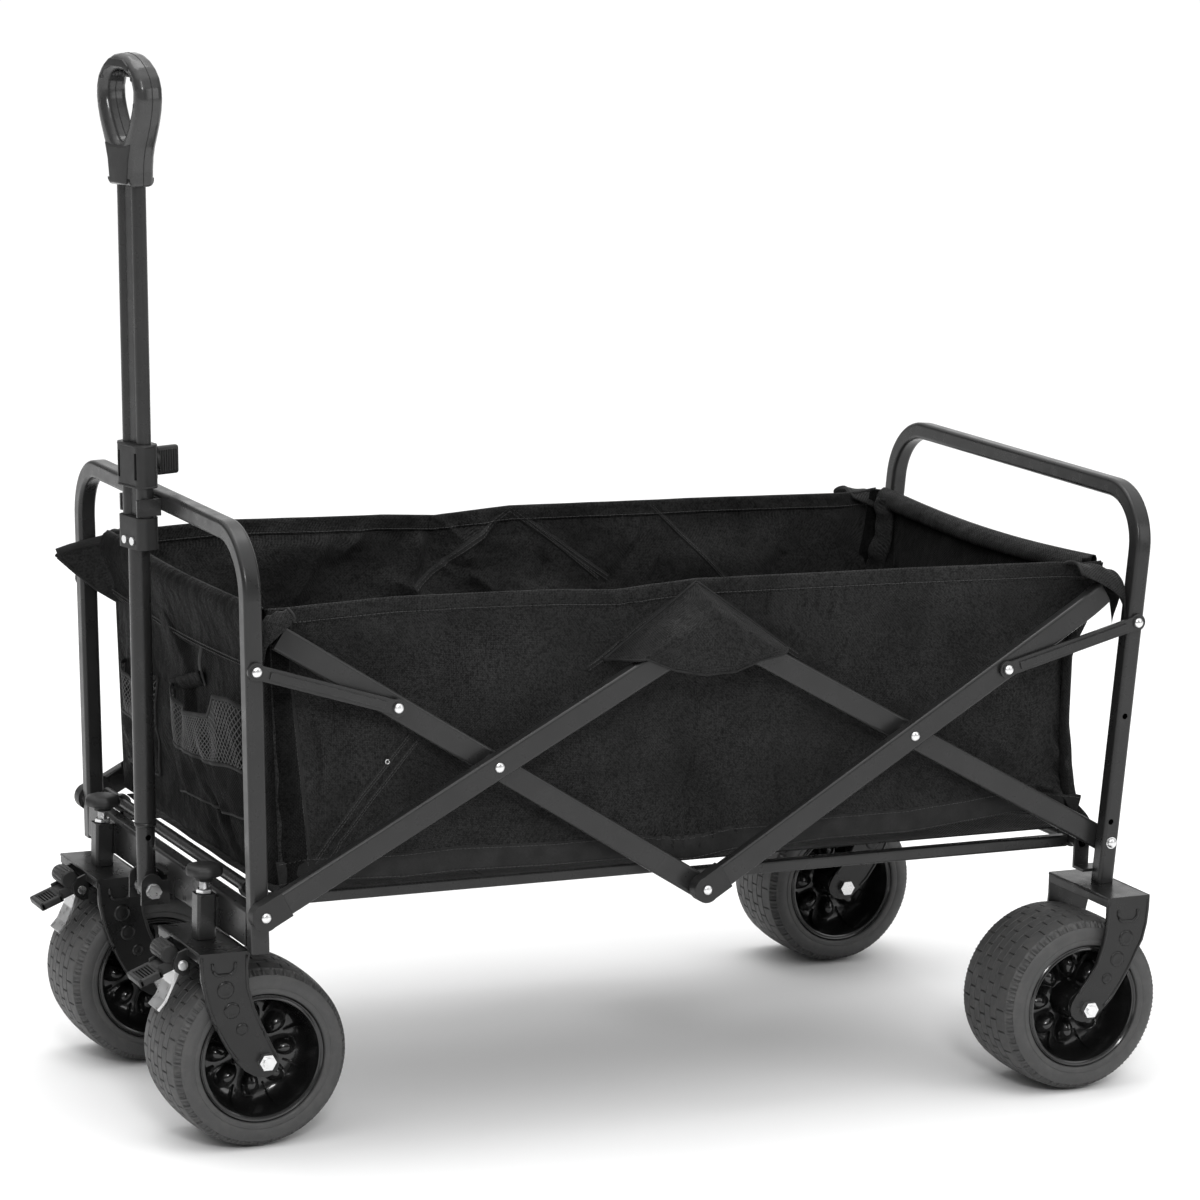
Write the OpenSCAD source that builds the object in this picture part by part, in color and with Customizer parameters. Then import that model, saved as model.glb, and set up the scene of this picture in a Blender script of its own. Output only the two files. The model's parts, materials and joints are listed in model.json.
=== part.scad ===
// Folding wagon with a pull handle: two hoop frames joined by crossed side arms, fabric basket,
// swivelling front wheels with foot brakes, fixed rear wheels and a tilting, sliding handle.
// Axes: +X towards the handle, +Y to the wagon's left, +Z up. Millimetres.

/* [Wheels] */
// Outer diameter of every wheel
wheel_d = 180; // [150:1:210]
// Width of every tyre
wheel_w = 100; // [70:1:110]
// Distance of a front swivel axis from the middle plane
front_wheel_y = 149; // [147:0.5:165]
// Distance of a rear wheel's middle from the middle plane
rear_wheel_y = 256.8; // [250:0.1:270]
// How far a front axle trails behind its swivel axis
trail = 43; // [30:1:50]

/* [Side linkage] */
// Half the distance between the front and rear arm pivots when open
half_span = 457.6; // [440:0.1:475]
// Rise of an outer arm from its leg pivot to the top joint when open
arm_rise = 247.9; // [230:0.1:265]
// Height of the leg pivots
pivot_z = 245.3; // [235:0.1:255]
// Where the inner arm crosses, as a part of the outer arm's length
cross_at = 0.51; // [0.5:0.005:0.52]
// How far the bottom centre joint lies below the leg pivots
mid_drop = 11.3; // [5:0.1:15]
// Height of an arm's section
arm_h = 24; // [20:0.5:26]
// Thickness of an arm's section
arm_t = 13; // [10:0.5:13]

/* [Hoops] */
// Side of the hoops' square tube
tube = 18; // [16:0.5:20]
// Wall of the square tube
wall = 1.3; // [1:0.1:2]
// Height of the hoops' top face
hoop_top = 608; // [590:1:625]
// Outer radius of the hoops' top bends
bend_r = 66; // [50:1:75]
// Forward lean of the front hoop in degrees
lean_front = 2.2; // [0:0.1:3]
// Backward lean of the rear hoop in degrees
lean_rear = 4; // [2:0.1:5]

/* [Handle] */
// Lean of the handle in degrees
lean_handle = 1.8; // [0:0.1:2]
// Outer diameter of the round lower tube
lower_d = 21; // [18:0.5:22]
// Radius of each lobe of the sliding tube
lobe_r = 7.2; // [6:0.1:7.4]
// Distance between the lobes
lobe_gap = 25; // [22:0.5:26]
// Height of the grip loop
grip_h = 125; // [110:1:130]
// Width of the grip loop
grip_w = 84; // [70:1:90]

/* [Basket] */
// Height of the basket's side rim
rim_z = 527; // [510:1:535]
// Height of the basket's floor
floor_z = 250.5; // [249:0.5:252]
// Thickness of the fabric panels
cloth = 2; // [1.5:0.5:2]

/* [Hidden] */
$fn = 48;
e = 0.01;
mid_x = -30.3;
wheel_r = wheel_d / 2;
arm_len = sqrt(half_span * half_span + arm_rise * arm_rise);
arm_a = atan2(arm_rise, half_span);
cross_x = half_span * (1 - cross_at);
cross_z = pivot_z + cross_at * arm_rise;
mid_z = pivot_z - mid_drop;
low_len = sqrt(cross_x * cross_x + (cross_z - mid_z) * (cross_z - mid_z));
inner_a = atan2(cross_z - mid_z, cross_x);
top_z = pivot_z + arm_rise;
leg_y = 237.4;
rear_leg_y = 251.6;
y_in = 229;
y_out = 247;
y_space = y_out - y_in - arm_t;
link_at = 118;
link_front_z = 476.4;
link_rear_z = 472.8;
stem_x = 478;
stem_top = 244;
caster_dx = stem_x - 482.5;
front_axle_x = stem_x - trail;
rear_axle_x = -406.6;
front_tube_x = 446;
front_tube_z = 254;
rear_tube_z = 238;
pin_r = 4;
run = 0.06;
hx = 483;
handle_turn = 12;
hz = 214;
base_x = half_span - 0.8 + tube / 2;
black = [0.07, 0.07, 0.075];
plastic = [0.05, 0.05, 0.05];
zinc = [0.78, 0.78, 0.8];
cloth_c = [0.06, 0.06, 0.065];
rubber = [0.09, 0.09, 0.09];

// Everything is drawn about the middle of the linkage, then moved so that the part's box is centred.
module placed() {
  translate([mid_x, 0, 0]) children();
}

module both() {
  children();
  mirror([0, 1, 0]) children();
}

// Front wheel parts are drawn with the swivel axis at x 482.5
module caster_at() {
  translate([caster_dx, 0, 0]) children();
}

module rrect(w, h, r) {
  union() {
    square([w - 2 * r, h], center = true);
    square([w, h - 2 * r], center = true);
    for (sx = [-1, 1], sy = [-1, 1]) translate([sx * (w / 2 - r), sy * (h / 2 - r)]) circle(r = r);
  }
}

module ring2(w, h, r, t) {
  difference() {
    rrect(w, h, r);
    rrect(w - 2 * t, h - 2 * t, r - t);
  }
}

// A cylinder along Y from y0 to y1 through (x, z)
module ycyl(x, z, r, y0, y1) {
  translate([x, y1, z]) rotate([90, 0, 0]) cylinder(r = r, h = y1 - y0);
}

// A hoop in its own upright plane: legs from z0 up to zt (top face), leg middles at +-yl
module hoop(yl, z0, zt) {
  rc = bend_r - tube / 2;
  zc = zt - bend_r;
  both() {
    translate([0, yl, z0]) linear_extrude(zc - z0) ring2(tube, tube, 4, wall);
    translate([0, yl - rc, zc]) rotate([90, 0, 90]) rotate_extrude(angle = 90, $fn = 64)
      translate([rc, 0]) ring2(tube, tube, 4, wall);
  }
  translate([0, yl - rc, zt - tube / 2]) rotate([90, 0, 0]) linear_extrude(2 * (yl - rc))
    ring2(tube, tube, 4, wall);
}

module front_hoop() {
  color(black) placed() difference() {
    translate([half_span, 0, pivot_z]) rotate([0, lean_front, 0]) translate([0, 0, -pivot_z])
      hoop(leg_y, 200, hoop_top);
    translate([half_span - 50, -300, 150]) cube([100, 600, 57]);
    both() {
      ycyl(half_span, pivot_z, pin_r + run, 220, 250);
      ycyl(link_fx(), link_front_z, 3.5 + run, 220, 250);
          }
  }
}

function link_fx() = half_span + tan(lean_front) * (link_front_z - pivot_z);
function link_rx() = -half_span - tan(lean_rear) * (link_rear_z - pivot_z);

module front_base_bar() {
  color(black) placed() translate([half_span - 0.8, 228.4, 227.5]) rotate([90, 0, 0])
    linear_extrude(456.8) ring2(tube, 37, 4, wall);
}

module front_floor_tube() {
  color(black) placed() difference() {
    ycyl(front_tube_x, front_tube_z, 6, -228.4, 228.4);
    ycyl(front_tube_x, front_tube_z, 4.8, -229, 229);
  }
}

module stem() {
  difference() {
    union() {
      translate([stem_x, front_wheel_y, 200.4]) linear_extrude(stem_top - 200.4) rrect(19, 19, 3);
      translate([base_x, front_wheel_y - 7, 212]) cube([7, 14, 28]);
    }
    translate([stem_x, front_wheel_y, 195]) cylinder(r = 4.5 + run, h = 60);
    translate([stem_x, front_wheel_y, 195]) cylinder(r = 7.5 + run, h = 26.2);
  }
}

module caster_stems() {
  color(black) placed() both() stem();
}

module handle_bracket() {
  color(black) placed() difference() {
    union() {
      translate([base_x, -19, 200]) cube([2.4, 38, 32]);
      for (y = [-19, 16.4]) translate([base_x, y, 200]) cube([29, 2.6, 24]);
      for (y = [-19, 16.4]) ycyl(hx + 1, 220, 11, y, y + 2.6);
      translate([base_x, -19, 229.4]) cube([6, 38, 2.6]);
    }
    ycyl(hx, hz, 4.2, -30, 30);
  }
}

module handle_clip() {
  color(black) placed() translate([half_span, 0, pivot_z]) rotate([0, lean_front, 0]) {
    translate([tube / 2, -23.4, 341]) cube([2.4, 46.8, 16.5]);
    for (y = [-23.4, 21.4]) translate([tube / 2, y, 341]) cube([24, 2, 16.5]);
    for (s = [-1, 1]) translate([tube / 2 + 22, s * 24.2 - 1.4, 341]) cube([3, 2.8, 16.5]);
  }
}

module wall_plate(pts, y0, t) {
  translate([0, y0 + t, 0]) rotate([90, 0, 0]) linear_extrude(t) polygon(pts);
}

// Cross wall between the side panels, leaning with its hoop
module cross_wall(x0, lean, z0, z1, w) {
  translate([x0, 0, z0]) rotate([0, lean, 0]) translate([-cloth / 2, -w, 0])
    cube([cloth, 2 * w, z1 - z0]);
}

module basket_front() {
  color(cloth_c) placed() {
    cross_wall(433.5, 3.2, floor_z + 1.5, 531, 220);
    translate([433.5, 0, 264]) rotate([0, 3.2, 0]) {
      translate([1, -150, 60]) cube([9, 130, 110]);
      translate([1, 30, 60]) cube([9, 150, 110]);
      translate([1, -216, 228]) cube([5, 432, 38]);
    }
  }
}

module basket_rear() {
  color(cloth_c) placed() {
    cross_wall(-436, -2.4, floor_z + 1.5, 535, 220);
    translate([-436.5, 0, 264]) rotate([0, -2.4, 0]) translate([-6, -216, 246]) cube([5.5, 432, 24]);
  }
}

module side_panel() {
  pts = [
    [447, rim_z], [0, rim_z - 3], [-444, rim_z + 4], [-441, 300], [-434, 262], [-430, floor_z],
    [428, floor_z], [431, 262], [437, 400]
  ];
  wall_plate(pts, 220, cloth);
}

module basket_side_left() {
  color(cloth_c) placed() side_panel();
}

module basket_side_right() {
  color(cloth_c) placed() mirror([0, 1, 0]) side_panel();
}

module basket_floor() {
  color(cloth_c) placed() translate([-430, -220, floor_z - 1.5]) cube([858, 440, 3]);
}

module rear_hoop() {
  color(black) placed() difference() {
    translate([-half_span, 0, pivot_z]) rotate([0, -lean_rear, 0]) translate([0, 0, -pivot_z])
      hoop(rear_leg_y, 190, hoop_top + 2);
    translate([-half_span - 50, -300, 150]) cube([100, 600, 53.2]);
    both() {
      ycyl(-half_span, pivot_z, pin_r, 236, 270);
      ycyl(link_rx(), link_rear_z, 3.5 + run, 236, 270);
      ycyl(-half_span + 1.4, 267, 3, 255, 270);
      ycyl(-half_span - 8.6, 376, 3, 255, 270);
    }
  }
}

// Cross tube held by an angle bracket that passes under the inner arm's end to each leg
module rear_floor_tube() {
  color(black) placed() difference() {
    union() {
      ycyl(-front_tube_x, rear_tube_z, 6, -225, 225);
      both() {
        translate([-454, 222, 212]) cube([17, 3, 34]);
        translate([-461, 222, 212]) cube([24, 20.6, 3]);
      }
    }
    ycyl(-front_tube_x, rear_tube_z, 4.8, -243, 243);
  }
}

// Curved side plate of a front fork, in X and Z
module front_plate() {
  polygon([
    [507, 200], [505.5, 174.6], [499.2, 148.6], [492.5, 131], [484, 114.2], [477, 102], [468.8, 91.5],
    [460, 82], [451.1, 76.5], [445, 74.2], [438, 74], [431.5, 76.6], [427, 82], [425.6, 88], [427, 94.5],
    [430.9, 101.1], [441.5, 122.4], [451.1, 143.6], [457.4, 164.5], [458.4, 182], [458.4, 200]
  ]);
}

module rear_plate() {
  polygon([
    [-423.6, 203], [-423.7, 181], [-422.6, 167.3], [-419.5, 153.7], [-412.9, 133.5], [-402.2, 117.1],
    [-393.1, 105.8], [-388, 98], [-386, 91], [-387.6, 84.5], [-392.7, 79.4], [-400, 76.8], [-407, 76.6],
    [-414.5, 79.5], [-425.5, 89.2], [-434.7, 98.7], [-443.7, 111.8], [-454.4, 130], [-463, 148.3],
    [-467.4, 156.5], [-471.3, 173.5], [-472.8, 190], [-472.8, 203]
  ]);
}

module caster_fork() {
  y1 = front_wheel_y;
  difference() {
    union() {
      for (y = [y1 - 57.4, y1 + 54.4]) translate([0, y + 3, 0]) rotate([90, 0, 0])
        linear_extrude(3) front_plate();
      translate([457.4, y1 - 57.4, 197]) cube([50, 114.8, 3]);
      translate([504.4, y1 - 57.4, 191]) cube([3, 114.8, 8]);
      translate([457.4, y1 - 57.4, 191]) cube([3, 114.8, 8]);
      translate([482.5, y1, 199]) cylinder(r = 7.5, h = 21);
      // brake ears
      for (y = [y1 - 24.5, y1 + 21.5]) translate([0, y + 3, 0]) rotate([90, 0, 0]) linear_extrude(3)
        polygon([[505, 199], [517, 194], [521, 186], [519, 176], [512, 171], [505, 172]]);
    }
    ycyl(482.5 - trail, wheel_r, 5, y1 - 70, y1 + 70);
    ycyl(512, 182, 3, y1 - 30, y1 + 30);
    translate([482.5, y1, 190]) cylinder(r = 4.5 + run, h = 40);
  }
}

module caster_fork_left() {
  color(black) placed() caster_at() caster_fork();
}

module caster_fork_right() {
  color(black) placed() mirror([0, 1, 0]) caster_at() caster_fork();
}

module hexnut(x, z, y0, y1, r) {
  translate([x, y1, z]) rotate([90, 0, 0]) cylinder(r = r, h = y1 - y0, $fn = 6);
}

module rivet(x, z, y0, y1, r, head) {
  ycyl(x, z, r, y0, y1);
  ycyl(x, z, head, y1, y1 + 1.2);
  ycyl(x, z, head * 0.75, y1 + 1.2, y1 + 2.2);
  ycyl(x, z, head * 0.85, y0 - 1.5, y0);
}

module caster_fasteners() {
  y1 = front_wheel_y;
  ycyl(482.5 - trail, wheel_r, 5, y1 - 62, y1 + 66);
  hexnut(482.5 - trail, wheel_r, y1 + 57.4, y1 + 64, 8.5);
  hexnut(482.5 - trail, wheel_r, y1 - 63, y1 - 57.4, 8.5);
  rivet(512, 182, y1 - 24.5, y1 + 24.5, 3, 5);
}

module caster_fasteners_left() {
  color(zinc) placed() caster_at() caster_fasteners();
}

module caster_fasteners_right() {
  color(zinc) placed() mirror([0, 1, 0]) caster_at() caster_fasteners();
}

// Rocker pedal: long ribbed lock pad in front, round release pad above the pin
module brake_pedal() {
  y1 = front_wheel_y;
  difference() {
    union() {
      ycyl(512, 182, 8, y1 - 20.5, y1 + 20.5);
      translate([512, y1 - 12, 182]) rotate([0, 22, 0]) translate([4, 0, -4]) cube([26, 24, 8]);
      translate([512, y1 - 18, 182]) rotate([0, 22, 0]) translate([26, 0, -5]) cube([27, 36, 6.5]);
      for (k = [0:4]) translate([512, y1 - 16, 182]) rotate([0, 22, 0]) translate([28 + 5 * k, 0, 1.4])
        cube([2.4, 32, 1.4]);
      ycyl(522, 191, 9, y1 - 16, y1 + 16);
      translate([512, y1 - 16, 186]) cube([10, 32, 13]);
      for (k = [0:3]) translate([522, y1, 191]) rotate([0, 25 * k, 0]) translate([-1, -14, 8.6])
        cube([2, 28, 1.6]);
    }
    ycyl(512, 182, 3 + run, y1 - 30, y1 + 30);
    translate([500, y1 - 30, 199.8]) cube([60, 60, 10]);
  }
}

module brake_pedal_left() {
  color(plastic) placed() caster_at() brake_pedal();
}

module brake_pedal_right() {
  color(plastic) placed() mirror([0, 1, 0]) caster_at() brake_pedal();
}

module brake_shoe() {
  difference() {
    translate([0, front_wheel_y + 13, 0]) rotate([90, 0, 0]) linear_extrude(26) polygon([
      [510.5, 177], [514.5, 177], [515.5, 171.5], [519, 160], [525.6, 145.6], [533, 137], [531, 135],
      [523.3, 144], [516.4, 159.4], [511.5, 170]
    ]);
    ycyl(512, 182, 8, front_wheel_y - 20, front_wheel_y + 20);
  }
}

module brake_shoe_left() {
  color(zinc) placed() caster_at() brake_shoe();
}

module brake_shoe_right() {
  color(zinc) placed() mirror([0, 1, 0]) caster_at() brake_shoe();
}

module caster_knob() {
  translate([482.5, front_wheel_y, 0]) {
    translate([0, 0, 199]) cylinder(r = 4.5, h = 60);
    translate([0, 0, stem_top + 0.2]) cylinder(r = 8, h = 4, $fn = 6);
    translate([0, 0, 254.5]) cylinder(r1 = 14, r2 = 17, h = 4);
    translate([0, 0, 258.5]) cylinder(r = 17, h = 10);
    translate([0, 0, 268.5]) cylinder(r1 = 17, r2 = 13, h = 4.5);
    for (k = [0:7]) rotate([0, 0, 45 * k]) translate([15.2, 0, 255.5]) cylinder(r = 3, h = 14);
  }
}

module caster_knob_left() {
  color(plastic) placed() caster_at() caster_knob();
}

module caster_knob_right() {
  color(plastic) placed() mirror([0, 1, 0]) caster_at() caster_knob();
}

// Tyre with a rounded crown and two grooves, hub with a deep dish and eight ribs, about the Y axis
module tyre() {
  h = wheel_w / 2;
  rotate([90, 0, 0]) rotate_extrude($fn = 96) difference() {
    polygon([
      [63, -h + 4], [65, -h + 1.5], [74, -h], [80, -h + 1.5], [85.5, -h + 6], [88.6, -h + 12],
      [wheel_r, -h + 22], [wheel_r, h - 22], [88.6, h - 12], [85.5, h - 6], [80, h - 1.5], [74, h],
      [65, h - 1.5], [63, h - 4], [61, 0]
    ]);
    for (y = [-18, 18]) translate([wheel_r - 2, y - 1.5]) square([4, 3]);
  }
}

module hub() {
  h = wheel_w / 2;
  rotate([90, 0, 0]) difference() {
    union() {
      rotate_extrude($fn = 96) polygon([
        [9, -h + 2], [14, -h + 2], [15, -h + 14], [18, -8], [50, -8], [55, -h + 12], [56, -h + 3], [62, -h + 2],
        [62.9, -h + 4.2], [60.9, 0], [62.9, h - 4.2], [62, h - 2], [56, h - 3], [55, h - 12], [50, 8], [18, 8],
        [15, h - 14], [14, h - 2], [9, h - 2]
      ]);
      for (k = [0:7]) rotate([0, 0, 45 * k + 22.5]) for (s = [-1, 1])
        translate([12, -1.5, s > 0 ? 7 : -28]) cube([41, 3, 21]);
    }
    cylinder(r = 5 + run, h = 200, center = true);
  }
}

module tyre_front_left() {
  color(rubber) placed() translate([front_axle_x, front_wheel_y, wheel_r]) tyre();
}

module hub_front_left() {
  color(plastic) placed() translate([front_axle_x, front_wheel_y, wheel_r]) hub();
}

module tyre_front_right() {
  color(rubber) placed() translate([front_axle_x, -front_wheel_y, wheel_r]) tyre();
}

module hub_front_right() {
  color(plastic) placed() translate([front_axle_x, -front_wheel_y, wheel_r]) hub();
}

module tyre_rear_left() {
  color(rubber) placed() translate([rear_axle_x, rear_wheel_y, wheel_r]) tyre();
}

module hub_rear_left() {
  color(plastic) placed() translate([rear_axle_x, rear_wheel_y, wheel_r]) hub();
}

module tyre_rear_right() {
  color(rubber) placed() translate([rear_axle_x, -rear_wheel_y, wheel_r]) tyre();
}

module hub_rear_right() {
  color(plastic) placed() translate([rear_axle_x, -rear_wheel_y, wheel_r]) hub();
}

module rear_fork() {
  y1 = rear_wheel_y;
  difference() {
    union() {
      for (y = [y1 - 57.4, y1 + 54.4]) translate([0, y + 3, 0]) rotate([90, 0, 0])
        linear_extrude(3) rear_plate();
      translate([-472.8, y1 - 57.4, 200]) cube([49.2, 114.8, 3]);
      translate([-472.8, y1 - 57.4, 193]) cube([3, 114.8, 9]);
      translate([-426.6, y1 - 57.4, 193]) cube([3, 114.8, 9]);
    }
    ycyl(rear_axle_x, wheel_r, 5, y1 - 70, y1 + 70);
  }
}

module rear_fork_left() {
  color(black) placed() rear_fork();
}

module rear_fork_right() {
  color(black) placed() mirror([0, 1, 0]) rear_fork();
}

module rear_fasteners() {
  color(zinc) placed() both() {
    ycyl(rear_axle_x, wheel_r, 5, rear_wheel_y - 62, rear_wheel_y + 66);
    hexnut(rear_axle_x, wheel_r, rear_wheel_y + 57.4, rear_wheel_y + 64, 8.5);
    hexnut(rear_axle_x, wheel_r, rear_wheel_y - 63, rear_wheel_y - 57.4, 8.5);
    rivet(-half_span, pivot_z, y_in - 0.4, rear_leg_y + tube / 2, pin_r, 6);
  }
}

// A straight arm tube in the XZ plane from s0 to s1 along a line from p at angle a
module arm_tube(p, a, s0, s1, y0) {
  translate([p[0], y0 + arm_t / 2, p[1]]) rotate([0, -a, 0]) translate([s0, 0, 0]) rotate([90, 0, 90])
    linear_extrude(s1 - s0) ring2(arm_t, arm_h, 3, 1.2);
}

// The last stretch of an inner or outer arm bends a little towards the basket
module arm_tip(p, a, s1, y0, turn) {
  r = 150;
  translate([p[0], y0 + arm_t / 2, p[1]]) rotate([0, -a, 0]) translate([s1, -r, 0]) rotate([0, 0, 90])
    mirror([0, 1, 0]) rotate_extrude(angle = turn, $fn = 96) translate([r, 0])
      ring2(arm_t, arm_h, 3, 1.2);
}

module front_outer_arm() {
  difference() {
    arm_tube([half_span, pivot_z], 180 - arm_a, 24, arm_len + 14, y_out);
    ycyl(cross_x, cross_z, pin_r, 240, 265);
    ycyl(0, top_z, pin_r, 240, 265);
  }
}

module front_inner_arm() {
  difference() {
    union() {
      arm_tube([0, mid_z], inner_a, -13, 478, y_in);
      arm_tip([0, mid_z], inner_a, 478, y_in, 14);
    }
    ycyl(cross_x, cross_z, pin_r + run, 220, 246);
  }
}

module rear_outer_arm() {
  difference() {
    union() {
      arm_tube([0, mid_z], 180 - inner_a, 24, 478, y_out);
      arm_tip_r();
    }
    ycyl(-cross_x, cross_z, pin_r, 240, 265);
  }
}

module arm_tip_r() {
  mirror([1, 0, 0]) arm_tip([0, mid_z], inner_a, 478, y_out, 14);
}

module rear_inner_arm() {
  difference() {
    arm_tube([0, top_z], 180 + arm_a, -14, arm_len + 12, y_in);
    ycyl(0, top_z, pin_r + run, 220, 246);
    ycyl(-cross_x, cross_z, pin_r + run, 220, 246);
    ycyl(-half_span, pivot_z, pin_r + run, 220, 246);
  }
}

module front_outer_arm_left() {
  color(black) placed() front_outer_arm();
}

module front_outer_arm_right() {
  color(black) placed() mirror([0, 1, 0]) front_outer_arm();
}

module front_inner_arm_left() {
  color(black) placed() front_inner_arm();
}

module front_inner_arm_right() {
  color(black) placed() mirror([0, 1, 0]) front_inner_arm();
}

module rear_outer_arm_left() {
  color(black) placed() rear_outer_arm();
}

module rear_outer_arm_right() {
  color(black) placed() mirror([0, 1, 0]) rear_outer_arm();
}

module rear_inner_arm_left() {
  color(black) placed() rear_inner_arm();
}

module rear_inner_arm_right() {
  color(black) placed() mirror([0, 1, 0]) rear_inner_arm();
}

// Moulded cap that closes an outer arm's lower end and carries its pivot
module arm_cap(p, a) {
  difference() {
    translate([p[0], y_out + arm_t + 0.6, p[1]]) rotate([0, -a, 0]) rotate([90, 0, 0])
      linear_extrude(arm_t + 0.8) union() {
        circle(r = 13.2);
        translate([0, -12.8]) square([23.9, 25.6]);
      }
    ycyl(p[0], p[1], pin_r, y_out - 5, y_out + arm_t + 5);
  }
}

module front_arm_caps() {
  color(plastic) placed() both() arm_cap([half_span, pivot_z], 180 - arm_a);
}

module rear_arm_caps() {
  color(plastic) placed() both() arm_cap([0, mid_z], 180 - inner_a);
}

module front_arm_rivets() {
  color(zinc) placed() both() {
    ycyl(half_span, pivot_z, pin_r, 228.6, y_out + arm_t + 0.6);
    ycyl(half_span, pivot_z, 6, y_out + arm_t + 0.6, y_out + arm_t + 1.8);
    ycyl(half_span, pivot_z, 4.5, y_out + arm_t + 1.8, y_out + arm_t + 2.8);
    rivet(cross_x, cross_z, y_in - 0.4, y_out + arm_t, pin_r, 6);
    ycyl(cross_x, cross_z, 9, y_in + arm_t + 0.3, y_out);
    rivet(0, top_z, y_in - 0.4, y_out + arm_t, pin_r, 6);
    ycyl(0, top_z, 9, y_in + arm_t + 0.3, y_out);
  }
}

module rear_arm_rivets() {
  color(zinc) placed() both() {
    ycyl(0, mid_z, pin_r, y_in + arm_t + 1, y_out + arm_t + 0.6);
    ycyl(0, mid_z, 9, y_in + arm_t + 1, y_out - 0.2);
    ycyl(0, mid_z, 6, y_out + arm_t + 0.6, y_out + arm_t + 1.8);
    ycyl(0, mid_z, 4.5, y_out + arm_t + 1.8, y_out + arm_t + 2.8);
    rivet(-cross_x, cross_z, y_in - 0.4, y_out + arm_t, pin_r, 6);
    ycyl(-cross_x, cross_z, 9, y_in + arm_t + 0.3, y_out);
  }
}

// A pressed link with round ends between two points in the XZ plane
module link_bar(p, q, y0, t) {
  l = sqrt((q[0] - p[0]) * (q[0] - p[0]) + (q[1] - p[1]) * (q[1] - p[1]));
  a = atan2(q[1] - p[1], q[0] - p[0]);
  translate([p[0], y0 + t, p[1]]) rotate([0, -a, 0]) rotate([90, 0, 0]) {
    linear_extrude(t) union() {
      circle(r = 8.5);
      translate([l, 0]) circle(r = 8.5);
      translate([0, -7]) square([l, 14]);
    }
    translate([14, -3.5, -1.8]) cube([l - 28, 7, 2.4]);
  }
}

module front_links() {
  bx = cross_x + link_at * cos(inner_a);
  bz = cross_z + link_at * sin(inner_a);
  color(black) placed() both() {
    link_bar([link_fx(), link_front_z], [bx, bz], 246.9, 3);
    rivet(link_fx(), link_front_z, leg_y - tube / 2 - 0.3, 249.9, 3.5, 6);
    ycyl(bx, bz, 6, y_in + arm_t + 0.4, 247);
    ycyl(bx, bz, 6, 249.9, 251.1);
    ycyl(bx, bz, 4.5, 251.1, 252.1);
  }
}

module rear_links() {
  cx = -cross_x - link_at * cos(inner_a);
  cz = cross_z + link_at * sin(inner_a);
  color(black) placed() both() {
    link_bar([link_rx(), link_rear_z], [cx, cz], 261.2, 3);
    rivet(link_rx(), link_rear_z, rear_leg_y - tube / 2 - 0.3, 264.2, 3.5, 6);
    ycyl(cx, cz, 6, y_out + arm_t + 0.4, 261.3);
    ycyl(cx, cz, 6, 264.2, 265.4);
    ycyl(cx, cz, 4.5, 265.4, 266.4);
  }
}

// Floor rail: a square tube hung on a cross tube by an eye, running towards the middle
module rail(xe, ze, y0, z0, dir, start) {
  difference() {
    union() {
      translate([xe + dir * start, y0, z0]) rotate([90, 0, dir > 0 ? 90 : -90])
        linear_extrude(abs(xe) - start - 2) ring2(12, 12, 2.5, 1.2);
      ycyl(xe, ze, 9, y0 - 3.4, y0 + 3.4);
    }
    ycyl(xe, ze, 6 + run, y0 - 10, y0 + 10);
  }
}

module front_rails() {
  color(black) placed() both() rail(front_tube_x, front_tube_z, 183, 241.5, -1, 0);
}

module rear_rails() {
  color(black) placed() both() rail(-front_tube_x, rear_tube_z, 201, 236, 1, 7.2);
}

// Handle parts are drawn upright above the pivot and then leaned
module handle_at() {
  placed() translate([hx, 0, hz]) rotate([0, lean_handle, 0]) children();
}

// The clamped upper half of the handle stands turned a little on the round lower tube
module upper_at() {
  handle_at() rotate([0, 0, handle_turn]) children();
}

module lobes(r, z0, z1) {
  translate([0, 0, z0]) linear_extrude(z1 - z0) union() {
    for (s = [-1, 1]) translate([0, s * lobe_gap / 2]) circle(r = r);
    square([r * 1.1, lobe_gap], center = true);
  }
}

module handle_lower_tube() {
  color(black) handle_at() difference() {
    union() {
      translate([0, 0, -6]) cylinder(r = 9.3, h = 80);
      ycyl(0, 0, 9.3, -9.3, 9.3);
      translate([0, 0, 66]) cylinder(r = lower_d / 2, h = 287);
    }
    translate([0, 0, 12]) cylinder(r = 7.8, h = 60);
    translate([0, 0, 71]) cylinder(r = lower_d / 2 - 1.3, h = 290);
    ycyl(0, 0, 4.2, -30, 30);
    ycyl(0, 51, 3, -30, 30);
    rotate([0, 0, handle_turn]) for (y = [-7, 7]) translate([-20, y, 346]) rotate([0, 90, 0])
      cylinder(r = 2.2, h = 40);
  }
}

module handle_sleeve() {
  color(black) upper_at() difference() {
    lobes(lobe_r + 1.2, 354, 440);
    lobes(lobe_r + 0.2, 353, 441);
  }
}

module handle_collar() {
  color(plastic) upper_at() difference() {
    translate([0, 0, 338]) linear_extrude(31) rrect(23, 46, 9);
    translate([0, 0, 330]) cylinder(r = lower_d / 2, h = 24);
    translate([0, 0, 354]) linear_extrude(20) union() {
      for (s = [-1, 1]) translate([0, s * lobe_gap / 2]) circle(r = lobe_r + 1.2);
      square([(lobe_r + 1.2) * 1.1, lobe_gap], center = true);
    }
    for (y = [-7, 7]) translate([-20, y, 346]) rotate([0, 90, 0]) cylinder(r = 2.2, h = 40);
  }
}

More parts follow.
